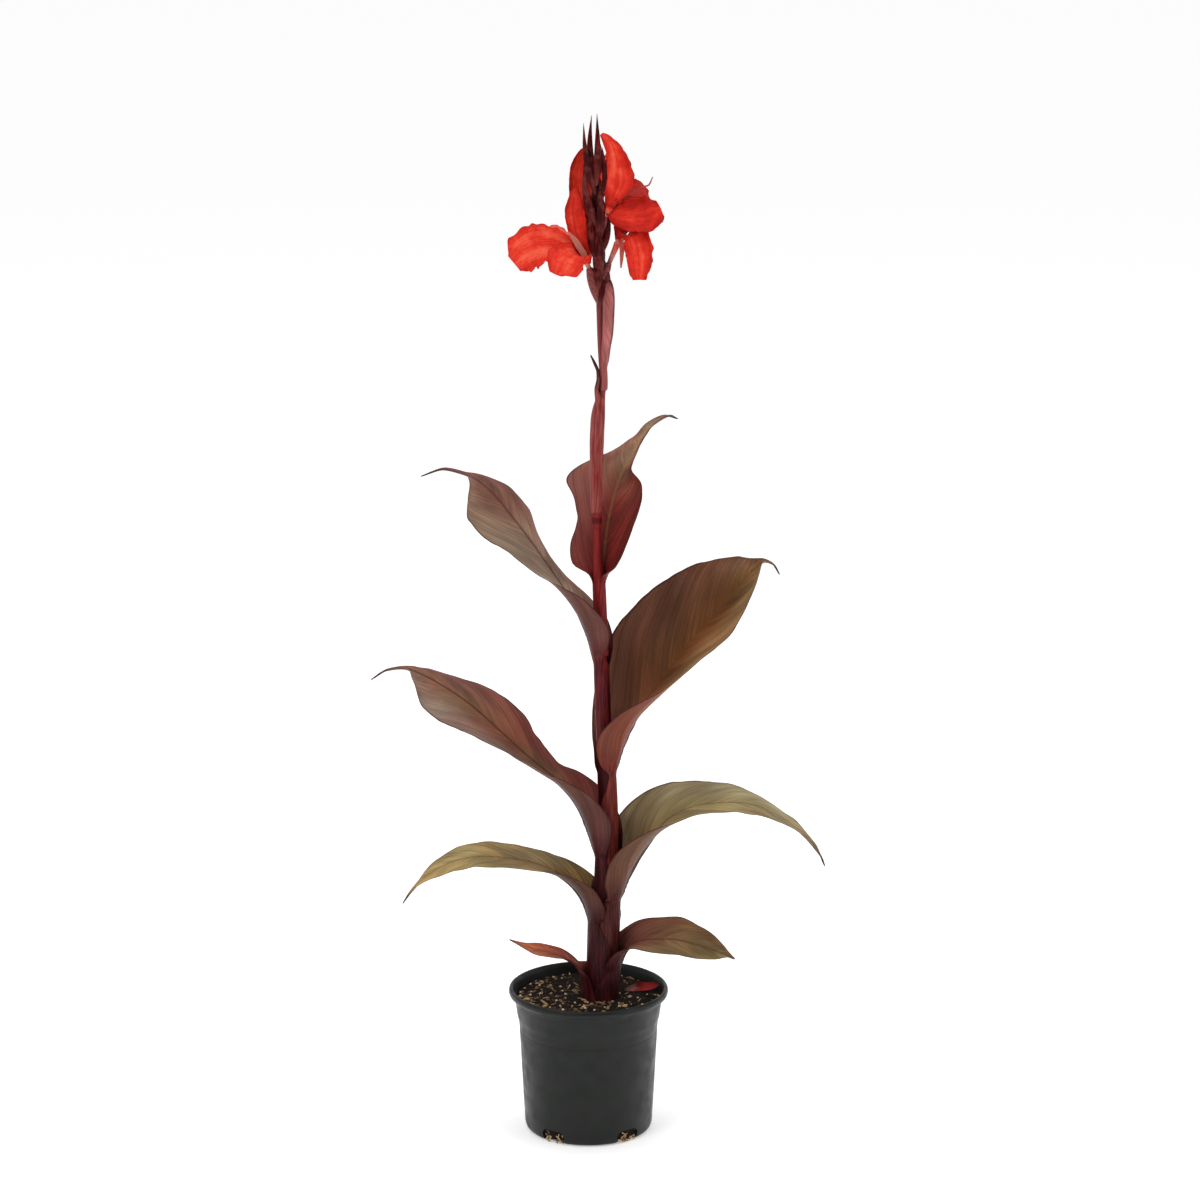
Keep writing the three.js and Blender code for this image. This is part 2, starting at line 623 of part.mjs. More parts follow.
// One section of a thin blade: the points of its upper and of its lower skin, from the left margin to the
// right. lift raises the margins, and the two halves may curl and widen differently.
function bladeSection(row, frame, strips, edge, wall, lift) {
  const [, , , , leftWidth, leftCurl, rightWidth, rightCurl, rib] = row;
  const wrapped = wrapOf(row, SHEATH_WRAP);
  const thickness = edge + (wall - edge) * wrapped;
  const round = wrapped ** 0.5;
  const upper = [];
  const lower = [];
  for (let j = strips.length - 1; j >= 0; j--) {
    const even = -rightWidth + (leftWidth + rightWidth) * j / (strips.length - 1);
    const open = strips[j] * (strips[j] > 0 ? leftWidth : rightWidth);
    const s = even * round + open * (1 - round);
    const side = s < 0 ? -1 : 1;
    const [width, curl] = s < 0 ? [rightWidth, radians(rightCurl)] : [leftWidth, radians(leftCurl)];
    const share = Math.abs(s) / width;
    const bend = Math.abs(curl) < 1e-3 ? 1e-3 : curl;
    const across = side * width / bend * Math.sin(bend * share);
    const rise = width / bend * (1 - Math.cos(bend * share)) + lift(share, side);
    const normal = frame.across.clone().multiplyScalar(-side * Math.sin(bend * share))
      .addScaledVector(frame.up, Math.cos(bend * share));
    const point = frame.place.clone().addScaledVector(frame.across, across).addScaledVector(frame.up, rise);
    const ridge = rib * Math.max(0, 1 - Math.abs(s) / RIB_HALF_WIDTH);
    upper.push(point);
    lower.push(point.clone().addScaledVector(normal, -(thickness + ridge)));
  }
  return { upper, lower };
}

// The closed skin of a blade, with a section at each of its rows, which are as in LEAVES.
// put turns a row into the midrib's place. Sections stand square to the midrib, but level on a sheath.
function bladeSkin({ rows, strips, heading, put, edge, wall, wave: [height, count, start] }) {
  const out = compass(heading);
  const left = compass(heading + 90);
  const place = t => put(flow(rows, t), out, left);
  const sections = rows.map((row, t) => {
    const ahead = place(Math.min(t + 0.02, rows.length - 1));
    const along = ahead.sub(place(Math.max(t - 0.02, 0))).normalize();
    along.lerp(UPRIGHT, smooth(wrapOf(row, SHEATH_WRAP))).normalize();
    const flat = left.clone().addScaledVector(along, -left.dot(along)).normalize();
    const rise = new THREE.Vector3().crossVectors(along, flat);
    const roll = radians(row[3]);
    const frame = {
      place: put(row, out, left),
      across: flat.clone().multiplyScalar(Math.cos(roll)).addScaledVector(rise, Math.sin(roll)),
      up: rise.clone().multiplyScalar(Math.cos(roll)).addScaledVector(flat, -Math.sin(roll)),
    };
    const breadth = Math.min(1, (row[4] + row[6]) / WAVING_WIDTH);
    const swing = height * breadth * (1 - wrapOf(row, FLAT_WRAP));
    const turn = 360 * count * t / (rows.length - 1) + start;
    const lift = (share, side) => swing * share ** 3 * Math.sin(radians(turn + side * MARGIN_LAG));
    return bladeSection(row, frame, strips, edge, wall, lift);
  });
  const last = strips.length - 1;
  const points = sections.flatMap(({ upper, lower }) => [...upper, ...lower]);
  const stride = 2 * strips.length;
  const top = (i, j) => i * stride + j;
  const under = (i, j) => i * stride + strips.length + j;
  const faces = [];
  for (let i = 0; i + 1 < sections.length; i++) {
    for (let j = 0; j < last; j++) {
      faces.push(top(i, j), top(i, j + 1), top(i + 1, j));
      faces.push(top(i, j + 1), top(i + 1, j + 1), top(i + 1, j));
      faces.push(under(i, j), under(i + 1, j), under(i, j + 1));
      faces.push(under(i, j + 1), under(i + 1, j), under(i + 1, j + 1));
    }
    faces.push(top(i, 0), top(i + 1, 0), under(i + 1, 0));
    faces.push(top(i, 0), under(i + 1, 0), under(i, 0));
    faces.push(top(i, last), under(i, last), under(i + 1, last));
    faces.push(top(i, last), under(i + 1, last), top(i + 1, last));
  }
  const end = sections.length - 1;
  for (let j = 0; j < last; j++) {
    faces.push(top(0, j), under(0, j), under(0, j + 1));
    faces.push(top(0, j), under(0, j + 1), top(0, j + 1));
    faces.push(top(end, j), top(end, j + 1), under(end, j + 1));
    faces.push(top(end, j), under(end, j + 1), under(end, j));
  }
  const geometry = new THREE.BufferGeometry().setFromPoints(points);
  geometry.setIndex(faces);
  return geometry;
}

// The sheaths lie one round the next, the youngest innermost, and each is rolled on what is inside it.
function sheathRadius(leaf, z) {
  const younger = LEAVES[LEAVES.indexOf(leaf) + 1];
  const nested = younger && younger.foot < leaf.notch;
  return nest(nested ? sheathRadius(younger, z) + younger.wall : stemRadius(z));
}

// The rows of a whole leaf: the sheath, rolled on its own radius, then the blade.
function leafRows(leaf) {
  const heights = [leaf.foot];
  leaf.margin.slice(1).forEach(([z, near], k) => {
    const [from, fromNear] = leaf.margin[k];
    const steps = Math.ceil(Math.max((z - from) / SHEATH_STEP, Math.abs(near - fromNear) / SHEATH_TURN));
    for (let i = 1; i <= steps; i++) {
      heights.push(from + (z - from) * i / steps);
    }
  });
  const sheath = heights.map(z => {
    const [, near, far] = atHeight(leaf.margin, 0, z);
    const [left, right] = leaf.near === 'left' ? [near, far] : [far, near];
    const radius = sheathRadius(leaf, z);
    return [radius, 0, z, 0, radius * radians(left), left, radius * radians(right), right, 0];
  });
  return [...sheath, ...leaf.blade];
}

function leafGeometry(leaf) {
  const rows = leafRows(leaf);
  const put = ([out, side, up], outward, leftward) =>
    axisAt(Math.min(up, leaf.notch)).setZ(up).addScaledVector(outward, out).addScaledVector(leftward, side);
  const { heading, wall, wave } = leaf;
  return bladeSkin({ rows, strips: BLADE_STRIPS, heading, put, edge: BLADE_EDGE, wall, wave });
}

function petalSolid(petal, seat) {
  const put = ([out, side, up], outward, leftward) =>
    seat.clone().addScaledVector(outward, out).addScaledVector(leftward, side).addScaledVector(UPRIGHT, up);
  const { rows, heading, wave } = petal;
  return solidOf(bladeSkin({
    rows, strips: PETAL_STRIPS, heading, put, edge: PETAL_EDGE, wall: PETAL_EDGE, wave,
  }));
}

// A bloom is cut clear of the stem and buds, whose room it may not enter.
function bloomGeometry(bloom, room) {
  const along = new THREE.Vector3(...bloom.axis).normalize();
  const seat = new THREE.Vector3(...bloom.seat);
  const reach = [-0.1, 0.5, 1].map(share => seat.clone().addScaledVector(along, bloom.tube * share));
  const tube = solidOf(limb(reach, TUBE_RADII, STEM_SIDES));
  const whole = fuse([tube, ...bloom.petals.map(petal => petalSolid(petal, seat))]).subtract(room);
  return geometryOf(largest(whole));
}

// The stem with its buds and ovaries, which grow from it as one piece. spare widens all of it.
function stemSolid(spare = 0) {
  const heights = [STEM[0][0]];
  for (const [z] of STEM.slice(1)) {
    const from = heights.at(-1);
    const steps = Math.ceil((z - from) / STEM_STEP);
    for (let k = 1; k <= steps; k++) {
      heights.push(from + (z - from) * k / steps);
    }
  }
  const core = solidOf(limb(heights.map(axisAt), heights.map(z => stemRadius(z) + spare), STEM_SIDES));
  const buds = BUDS.map(([z, heading, length, radius, lean]) => {
    const foot = axisAt(z).addScaledVector(compass(heading), 1);
    const tip = foot.clone().addScaledVector(compass(heading), length * Math.sin(radians(lean)))
      .addScaledVector(UPRIGHT, length * Math.cos(radians(lean)));
    const points = BUD_SHAPE.map(([share]) => foot.clone().lerp(tip, share)
      .addScaledVector(compass(heading), radius * 0.9 * Math.sin(Math.PI * share)));
    return solidOf(limb(points, BUD_SHAPE.map(([, girth]) => girth * radius + spare), BUD_SIDES));
  });
  const ovaries = BLOOMS.map(bloom => {
    const foot = axisAt(bloom.joint);
    const seat = new THREE.Vector3(...bloom.seat);
    const points = OVARY_SHAPE.map(([share]) => foot.clone().lerp(seat, share));
    return solidOf(limb(points, OVARY_SHAPE.map(([, girth]) => girth * bloom.ovary + spare), STEM_SIDES));
  });
  return fuse([core, ...buds, ...ovaries]);
}

// Pot and soil

// The pot's section, [radius, height]: up the outside to the rolled rim and down the inside.
const POT_OUTSIDE = [
  [0, 0], [POT.foot - 6, 0], [POT.foot - 1.6, 1.8], [POT.foot, 6], [72, 118], [73.4, 120], [76, 139],
  [77.2, 143], [81.4, 144.6], [POT.rim, 147.4], [82, 150.6], [80.4, POT.height],
];
const POT_INSIDE = [
  [78.6, POT.height], [76.6, 148], [74.4, 139], [71.8, 120.5], [70.2, 117.5],
  [POT.foot - POT.wall, 6.6], [POT.foot - 3.4, 3.3], [POT.foot - 7, POT.floor], [0, POT.floor],
];
const profile = points => points.map(([r, z]) => new THREE.Vector2(r, z));

function turned(points) {
  return new THREE.LatheGeometry(profile(points), POT.sides).rotateX(Math.PI / 2);
}

// A drain is an arch cut through the foot of the wall.
function drainSolid(turn) {
  const half = POT.drainWidth / 2;
  const shoulder = POT.drainTop - POT.drainRound;
  const mouth = new THREE.Shape();
  mouth.moveTo(-half, POT.drainSill);
  mouth.lineTo(half, POT.drainSill);
  mouth.absarc(half - POT.drainRound, shoulder, POT.drainRound, 0, Math.PI / 2, false);
  mouth.absarc(POT.drainRound - half, shoulder, POT.drainRound, Math.PI / 2, Math.PI, false);
  const depth = 2 * POT.drainReach;
  const cut = new THREE.ExtrudeGeometry(mouth, { depth, bevelEnabled: false, curveSegments: 3 });
  cut.rotateX(Math.PI / 2).translate(0, POT.drainReach - POT.foot, 0).rotateZ(radians(turn));
  return solidOf(cut);
}

function potSolid() {
  let pot = solidOf(turned([...POT_OUTSIDE, ...POT_INSIDE]));
  for (let k = 0; k < POT.drains; k++) {
    pot = pot.subtract(drainSolid(POT.drainTurn + 360 * k / POT.drains));
  }
  return pot;
}

// Potting mix fills the pot, with a rough top, bits of bark and stone in it, and a plain hole for the stalk.
function soilSolid(stalkRadius) {
  const wall = POT_INSIDE.slice(2, -1).reverse().map(([r, z]) => [r - GAP, z + GAP]);
  const edge = atHeight(wall, 1, SOIL.top)[0] - GAP;
  const top = Array.from({ length: SOIL.rings + 1 }, (_, k) => [edge * (1 - k / SOIL.rings), SOIL.top]);
  const lathe = turned([[0, wall[0][1]], ...wall.slice(0, -1), ...top]);
  const random = seeded(SOIL.seed);
  const bumps = new Map();
  const place = lathe.getAttribute('position');
  for (let i = 0; i < place.count; i++) {
    if (place.getZ(i) < SOIL.top - 0.01) continue;
    const spot = [place.getX(i), place.getY(i)].map(value => Math.round(value * 10)).join();
    if (!bumps.has(spot)) bumps.set(spot, SOIL.relief * (2 * random() - 1));
    place.setZ(i, SOIL.top + bumps.get(spot));
  }
  let soil = solidOf(lathe);
  const stalk = axisAt(SOIL.top);
  const fallen = new THREE.Vector3(...FALLEN_PETAL.middle);
  const [smallest, biggest] = SOIL.stoneSize;
  for (let k = 0; k < SOIL.stones; k++) {
    const size = THREE.MathUtils.lerp(smallest, biggest, random());
    const turn = 360 * random();
    const reach = (edge - biggest - 2) * Math.sqrt((k + 1) / SOIL.stones);
    const spot = compass(GOLDEN_ANGLE * k).multiplyScalar(reach).setZ(SOIL.top);
    const crowded = spot.distanceTo(stalk) < stalkRadius + biggest + 2;
    if (crowded || spot.distanceTo(fallen) < FALLEN_PETAL.length * 0.6) continue;
    const stone = new THREE.OctahedronGeometry(size, 0).scale(1.2, 0.9, 0.7).rotateZ(radians(turn));
    soil = soil.add(solidOf(stone.translate(spot.x, spot.y, spot.z)));
  }
  const middle = axisAt(STALK_FOOT);
  const depth = SOIL.top + 20 - STALK_FOOT;
  const hole = new THREE.CylinderGeometry(stalkRadius, stalkRadius, depth, HOLE_SIDES);
  hole.rotateX(Math.PI / 2).translate(middle.x, middle.y, STALK_FOOT - GAP + depth / 2);
  return largest(soil.subtract(solidOf(hole)));
}

function fallenPetal() {
  const { middle, heading, roll, length, width, curl } = FALLEN_PETAL;
  const rows = FALLEN_SHAPE.map(([reach, breadth, rise]) =>
    [reach * length, 0, rise, roll, breadth * width, curl, breadth * width, curl, 0]);
  return geometryOf(petalSolid({ heading, rows, wave: [0, 1, 0] }, new THREE.Vector3(...middle)));
}

// Assembly

const MATERIALS = {
  pot: new THREE.MeshStandardMaterial({ color: 0x2b2e2c, roughness: 0.45, metalness: 0 }),
  soil: new THREE.MeshStandardMaterial({ color: 0x3a2a1e, roughness: 0.95, metalness: 0 }),
  stem: new THREE.MeshStandardMaterial({ color: 0x5a2028, roughness: 0.5, metalness: 0 }),
  leaf: new THREE.MeshStandardMaterial({ color: 0x6b4632, roughness: 0.45, metalness: 0 }),
  bract: new THREE.MeshStandardMaterial({ color: 0x9a4a4e, roughness: 0.5, metalness: 0 }),
  petal: new THREE.MeshStandardMaterial({ color: 0xd8200f, roughness: 0.6, metalness: 0 }),
};

const plant = new THREE.Group();

function addPiece(name, geometry, material) {
  const mesh = new THREE.Mesh(geometry, material);
  mesh.name = name;
  plant.add(mesh);
}

const stalkRadius = sheathRadius(LEAVES[0], SOIL.top + SOIL.relief) + LEAVES[0].wall + GAP;

addPiece('pot', geometryOf(potSolid()), MATERIALS.pot);
addPiece('soil', geometryOf(soilSolid(stalkRadius)), MATERIALS.soil);
addPiece('stem', geometryOf(stemSolid()), MATERIALS.stem);
for (const leaf of LEAVES) {
  addPiece(leaf.name, leafGeometry(leaf), leaf.name.startsWith('bract') ? MATERIALS.bract : MATERIALS.leaf);
}
const stemRoom = stemSolid(GAP);
for (const bloom of BLOOMS) {
  addPiece(bloom.name, bloomGeometry(bloom, stemRoom), MATERIALS.petal);
}
addPiece('fallen_petal', fallenPetal(), MATERIALS.petal);

export default plant;
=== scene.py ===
"""A bronze-leaved canna lily in a nursery pot, finished around its fixed frame of plain solids.

Every fine piece here stands in for a solid of the frame and keeps its place and form: the leaves and petals
are lofted from the same rows of numbers, in millimetres, with more sections and strips. Geometry Nodes make
the stem and buds from their paths, and strew the potting mix. All objects are in metres.
"""

import math
import random

import bpy
from mathutils import Matrix, Vector, noise


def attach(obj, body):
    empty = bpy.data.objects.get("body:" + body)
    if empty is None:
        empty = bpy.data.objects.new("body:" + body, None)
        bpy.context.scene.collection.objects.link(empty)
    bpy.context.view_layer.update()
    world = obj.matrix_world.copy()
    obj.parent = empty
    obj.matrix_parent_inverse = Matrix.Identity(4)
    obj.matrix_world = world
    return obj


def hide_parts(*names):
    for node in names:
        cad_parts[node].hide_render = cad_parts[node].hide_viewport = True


bl_info = {
    "name": "Potted canna lily",
    "version": (1, 0, 0),
    "blender": (4, 5, 0),
    "location": "3D View > Sidebar > Canna",
    "description": "Builds a red-flowered, bronze-leaved canna lily in its nursery pot",
    "category": "Add Mesh",
}

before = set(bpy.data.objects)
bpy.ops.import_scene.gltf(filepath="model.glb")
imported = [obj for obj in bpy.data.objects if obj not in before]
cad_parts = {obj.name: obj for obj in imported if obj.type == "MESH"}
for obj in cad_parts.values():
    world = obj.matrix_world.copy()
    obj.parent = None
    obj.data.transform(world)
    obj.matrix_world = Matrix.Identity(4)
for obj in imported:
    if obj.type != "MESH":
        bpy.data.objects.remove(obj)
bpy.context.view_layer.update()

MM = 0.001
ROOT = "root"

# Sizes shared with the frame's solids, in millimetres.
GAP = 0.3
SHEATH_FACETS = 8
SHEATH_STEP = 34
SHEATH_TURN = 14
RIB_HALF_WIDTH = 4
SHEATH_WRAP = 300
FLAT_WRAP = 220
WAVING_WIDTH = 20
MARGIN_LAG = 50
STALK_FOOT = 104

# How a blade is cut into strips, from its midrib at 0 to a margin at 1, and how its skin is shaped.
STRIP_CROWDING = 1.35
INNER_REACH = 0.92
MARGIN_PLACES = [0.95, 0.985, 1]
MARGIN_THINNING = 0.55
MARGIN_LANE = 9
MIDRIB_RIPPLE = 0.2
GROOVE_WIDTH = 1.2
SLIGHT_CURL = 0.1
FLAT_BEND = 0.002
MIDRIB_NUDGE = 0.02
VEIN_SLANT = 1.3
VEIN_SWEEP = 0.9

# What sets leaves and petals apart: the length of their ripples, how deep and how long their torn teeth are,
# and how deep the groove along the midrib is. A petal is equally thick all over.
LEAF_MARGIN = {"ripple_length": 16, "fringe": 0.03, "tooth": 9, "groove": 0.35}
PETAL_MARGIN = {"ripple_length": 9, "fringe": 0.17, "tooth": 4.2, "groove": 0, "edge": 0.5, "wall": 0.5}

# The stem's axis, [x, y, z], from the soil to the top of the flower spike.
AXIS = [
    [13.5, 0, 80], [13.5, 0, 142], [17, 0, 222], [20, 0, 320], [18, 0, 388], [15, 0, 455], [13, 0, 525],
    [10.4, 0, 588], [8.9, 0, 622], [8.5, 0, 672], [9.3, 0, 725], [10.8, 0, 755], [13.2, 0, 771],
    [15, 0, 787], [13, 0, 822], [11.4, 0, 868], [10.4, 0, 915], [9, 0, 960], [7, 0, 1015],
]

# The bare stem inside its sheaths: [height, radius], with a swelling at each joint.
STEM = [
    [STALK_FOOT, 6.4], [150, 7.2], [200, 8.4], [230, 8.8], [330, 8.6], [384, 8.4], [394, 6.8], [495, 6.7],
    [500, 5.3], [588, 5.3], [602, 4.9], [616, 4.1], [636, 4.2], [644, 5.4], [652, 4.6], [668, 4.8],
    [695, 5.2], [728, 6.1], [748, 6.1], [761, 5.2], [770, 4.1], [778, 3.4], [820, 3.4], [868, 3.3],
    [915, 3.1], [960, 2.6], [1012, 1.2],
]

# Leaves and bracts, lowest first. heading is the compass angle of the midrib's plane, from +X towards +Y.
# near is the side, looking out along the leaf, whose margin folds across the front of the stem.
# The sheath runs from foot to notch, and margin lists [height, near wrap, far wrap] in degrees along it.
# A blade row is [out, side, up, roll, left width, left curl, right width, right curl, rib]: the midrib's
# place from the stem's axis, the roll of the section, each half's width and how many degrees it curls up,
# and the extra thickness of the rib. wave is [height, count, start in degrees] of the margins' waves.
LEAVES = [
    {
        "name": "leaf_1_base_left", "heading": 180, "near": "left", "foot": STALK_FOOT, "notch": 156,
        "wall": 0.9, "wave": [1, 2, 0], "margin": [[STALK_FOOT, 100, 110], [156, 60, 78]],
        "blade": [
            [22, 0, 166, 0, 20, 52, 27, 70, 1], [26, 0, 174, 0, 13, 28, 13, 28, 2],
            [34, 0, 181, -6, 9, 40, 9, 40, 1.8], [48, 0, 187, -16, 11, 24, 10, 24, 1.4],
            [64, 0, 191, -18, 11, 20, 10, 20, 1], [82, 0, 196.5, -10, 6, 20, 6, 20, 0.7],
            [95, 0, 203, 0, 0.6, 20, 0.6, 20, 0.4],
        ],
    },
    {
        "name": "leaf_2_base_right", "heading": -5, "near": "right", "foot": STALK_FOOT, "notch": 172,
        "wall": 1, "wave": [1.2, 2, 40], "margin": [
            [STALK_FOOT, 160, 170], [140, 130, 170], [172, 70, 165],
        ],
        "blade": [
            [19.6, 0, 180, 0, 44, 128, 25, 74, 1.5], [22.5, 0, 190, 6, 26, 70, 24, 64, 2.6],
            [31, 0, 199, 18, 23, 50, 22, 46, 2.6], [48, 0, 204, 27, 27, 26, 24, 24, 2],
            [72, 0, 205, 27, 30, 18, 26, 18, 1.6], [97, 0, 200, 24, 25, 18, 24, 18, 1.3],
            [119, 0, 193, 20, 14, 20, 16, 20, 1], [131, 0, 188.5, 10, 4.5, 40, 4.5, 40, 0.8],
            [137, 0, 186, 0, 0.6, 20, 0.6, 20, 0.4],
        ],
    },
    {
        "name": "leaf_3_lower_left", "heading": 175, "near": "left", "foot": STALK_FOOT, "notch": 222,
        "wall": 1, "wave": [1.5, 3, 0], "margin": [
            [STALK_FOOT, 165, 170], [176, 155, 170], [206, 105, 170], [222, 72, 165],
        ],
        "blade": [
            [17.8, 0, 232, 0, 30, 88, 44, 130, 2], [21, 0, 243, 0, 34, 92, 38, 100, 3],
            [27, 0, 254, 0, 33, 92, 33, 74, 3.5], [36, 0, 264, -2, 30, 72, 31, 52, 3.5],
            [50, 0, 274, -6, 27, 44, 28, 32, 3.2], [72, 0, 283, -9, 26, 14, 27, 12, 2.6],
            [100, 0, 288, -10, 27, 7, 27, 7, 2.1], [126, 0, 289, -11, 26, 7, 26, 7, 1.7],
            [150, 0, 285, -12, 23, 7, 23, 7, 1.4], [172, 0, 275, -12, 18, 8, 18, 8, 1.2],
            [190, 0, 261, -8, 11, 12, 11, 12, 1], [202, 0, 247.5, 0, 4, 40, 4, 40, 0.8],
            [210, 0, 236, 0, 0.6, 30, 0.6, 30, 0.4],
        ],
    },
    {
        "name": "leaf_4_lower_right", "heading": 5, "near": "right", "foot": STALK_FOOT, "notch": 244,
        "wall": 1, "wave": [1.5, 3, 90], "margin": [
            [STALK_FOOT, 165, 170], [200, 160, 170], [222, 150, 170], [244, 112, 170],
        ],
        "blade": [
            [16.6, 0, 253, 0, 44, 152, 28, 84, 2], [21, 0, 267, 0, 42, 112, 36, 98, 3],
            [29, 0, 285, 0, 46, 92, 42, 102, 4], [40, 0, 303, 3, 52, 76, 46, 92, 4],
            [53, 0, 320, 8, 54, 56, 46, 66, 3.6], [70, 0, 335, 9, 50, 34, 44, 34, 3],
            [96, 0, 345, 7, 44, 20, 42, 20, 2.4], [124, 0, 347, 7, 40, 14, 38, 12, 2],
            [150, 0, 344, 7, 34, 8, 33, 8, 1.6], [175, 0, 333, 6, 25, 8, 23, 8, 1.3],
            [197, 0, 317, 4, 15, 20, 13, 20, 1.1], [213, 0, 300, 0, 7, 40, 6, 40, 0.9],
            [222, 0, 287, 0, 3, 70, 3, 70, 0.8], [227, 0, 276, 0, 0.6, 40, 0.6, 40, 0.4],
        ],
    },
    {
        "name": "leaf_5_middle_left", "heading": 165, "near": "left", "foot": STALK_FOOT, "notch": 290,
        "wall": 1, "wave": [2, 3, 30], "margin": [
            [STALK_FOOT, 165, 170], [250, 160, 170], [274, 130, 170], [290, 100, 170],
        ],
        "blade": [
            [14.2, 0, 302, 0, 27, 106, 42, 164, 2], [18, 0, 316, 0, 37, 118, 42, 134, 3],
            [24, 0, 333, 0, 46, 118, 42, 96, 4], [34, 0, 351, 0, 43, 102, 38, 72, 4],
            [48, 0, 366, -2, 36, 66, 31, 44, 3.8], [64, 0, 378, -6, 33, 44, 24, 20, 3.4],
            [92, 0, 399, -17, 40, 50, 29, 16, 2.8], [112, 0, 416, -19, 44, 36, 38, 14, 2.5],
            [146, 0, 444, -18, 43, -4, 40, -10, 2], [176, 0, 462, -18, 36, -28, 31, -26, 1.6],
            [200, 0, 473, -12, 17, 0, 14, 0, 1.3], [216, 0, 477, 0, 5, 70, 5, 70, 1],
            [234, 0, 474, 0, 3.4, 70, 3.4, 70, 0.8], [252, 0, 463, 0, 0.6, 40, 0.6, 40, 0.4],
        ],
    },
    {
        "name": "leaf_6_middle_right", "heading": 15, "near": "right", "foot": 282, "notch": 380,
        "wall": 1, "wave": [1.5, 3, 60], "margin": [
            [282, 165, 170], [340, 160, 170], [366, 110, 170], [380, 84, 165],
        ],
        "blade": [
            [11, 0, 390, 0, 31, 158, 25, 128, 2], [14, 0, 403, 0, 34, 142, 36, 148, 3],
            [20, 0, 419, 0, 42, 116, 46, 140, 4], [30, 0, 438, 4, 53, 94, 50, 112, 4],
            [43, 0, 457, 12, 63, 78, 55, 84, 3.6], [58, 0, 477, 21, 70, 70, 46, 60, 3.2],
            [80, 0, 505, 28, 74, 70, 44, 44, 2.8], [108, 0, 535, 28, 68, 62, 46, 28, 2.2],
            [137, 0, 567, 24, 50, 52, 37, 34, 1.6], [156, 0, 586, 18, 24, 44, 20, 44, 1.2],
            [166, 0, 593, 6, 6, 70, 6, 70, 1], [175, 0, 590, 0, 4, 70, 4, 70, 0.8],
            [183, 0, 579, 0, 0.6, 60, 0.6, 60, 0.4],
        ],
    },
    {
        "name": "leaf_7_upper_left", "heading": 160, "near": "left", "foot": 400, "notch": 494,
        "wall": 0.9, "wave": [2, 3, 0], "margin": [
            [400, 165, 170], [464, 160, 170], [482, 136, 170], [494, 106, 170],
        ],
        "blade": [
            [9.2, 0, 505, 0, 19, 116, 27, 166, 1.6], [12, 0, 518, 0, 31, 132, 28, 128, 2.4],
            [18.5, 0, 536, 0, 43, 128, 29, 92, 3], [28, 0, 554, -4, 43, 108, 23, 52, 3],
            [43, 0, 575, -8, 37, 62, 18, 10, 2.8], [60, 0, 597, -12, 33, 14, 15, -4, 2.5],
            [77, 0, 619, -20, 35, -4, 18, -16, 2.2], [96, 0, 641, -32, 40, -16, 27, -26, 1.9],
            [112, 0, 659, -36, 38, -36, 27, -40, 1.6], [127, 0, 672, -30, 24, -34, 18, -30, 1.3],
            [139, 0, 679.5, -14, 9, 20, 8, 10, 1], [150, 0, 682.5, 0, 4.2, 70, 4.2, 70, 0.8],
            [170, 0, 685.5, 0, 4, 70, 4, 70, 0.7], [196, 0, 677, 0, 0.6, 40, 0.6, 40, 0.4],
        ],
    },
    {
        "name": "leaf_8_upper_back", "heading": 60, "near": "right", "foot": 506, "notch": 580,
        "wall": 0.9, "wave": [4, 4, 200], "margin": [[506, 165, 170], [560, 160, 170], [580, 130, 150]],
        "blade": [
            [7.2, 0, 590, 0, 20, 126, 22, 122, 1.6], [8.5, 0, 600, 0, 34, 84, 36, 84, 2],
            [12, 0, 617, 0, 36, 54, 44, 64, 2.4], [17, 0, 636, 0, 33, 44, 42, 44, 2.2],
            [25, 0, 656, 0, 41, 18, 43, 40, 2], [36, 0, 674, 2, 57, 2, 38, 46, 1.8],
            [48, 0, 688, 2, 44, 4, 15, 50, 1.6], [61, 0, 700, 2, 25, 10, 13, 50, 1.4],
            [74, 0, 710, 2, 12, 40, 10, 60, 1.2], [88, 0, 716.5, 0, 6, 60, 6, 60, 1],
            [106, 0, 724, 0, 5.4, 70, 5.4, 70, 0.9], [138, 0, 728, 0, 3.8, 70, 3.8, 70, 0.7],
            [162, 0, 722, 0, 0.6, 50, 0.6, 50, 0.4],
        ],
    },
    {
        "name": "bract_1_stalk", "heading": 175, "near": "left", "foot": 654, "notch": 768,
        "wall": 0.9, "wave": [0, 1, 0], "margin": [
            [654, 168, 170], [695, 166, 168], [728, 164, 166], [748, 162, 164], [761, 156, 158],
            [768, 140, 140],
        ],
        "blade": [
            [5.2, 0, 778, 0, 8, 66, 8, 66, 0.6], [2.8, 0, 790, 0, 5, 56, 5, 56, 0.9],
            [3, 0, 797, 0, 3.4, 45, 3.4, 45, 0.9], [5.8, 0, 805, 0, 2.6, 50, 2.6, 50, 0.9],
            [9.8, 0, 814, 0, 0.6, 40, 0.6, 40, 0.4],
        ],
    },
    {
        "name": "bract_2_spathe", "heading": -5, "near": "right", "foot": 779, "notch": 800,
        "wall": 0.9, "wave": [0, 1, 0], "margin": [[779, 110, 118], [800, 100, 110]],
        "blade": [
            [5.4, 0, 810, 0, 9, 104, 9, 104, 0.6], [6.9, 0, 822, 0, 11, 104, 11, 104, 0.6],
            [9.3, 0, 836, 0, 13, 106, 13, 106, 0.6], [10.5, 0, 853, 0, 14, 110, 14, 110, 0.5],
            [11, 0, 868, 0, 14.5, 112, 14.5, 112, 0.5], [10.5, 0, 878, 0, 12.5, 114, 12.5, 114, 0.4],
            [8.8, 0, 886, 0, 8, 120, 8, 120, 0.4], [7.2, 0, 890, 0, 0.8, 40, 0.8, 40, 0.3],
        ],
    },
]

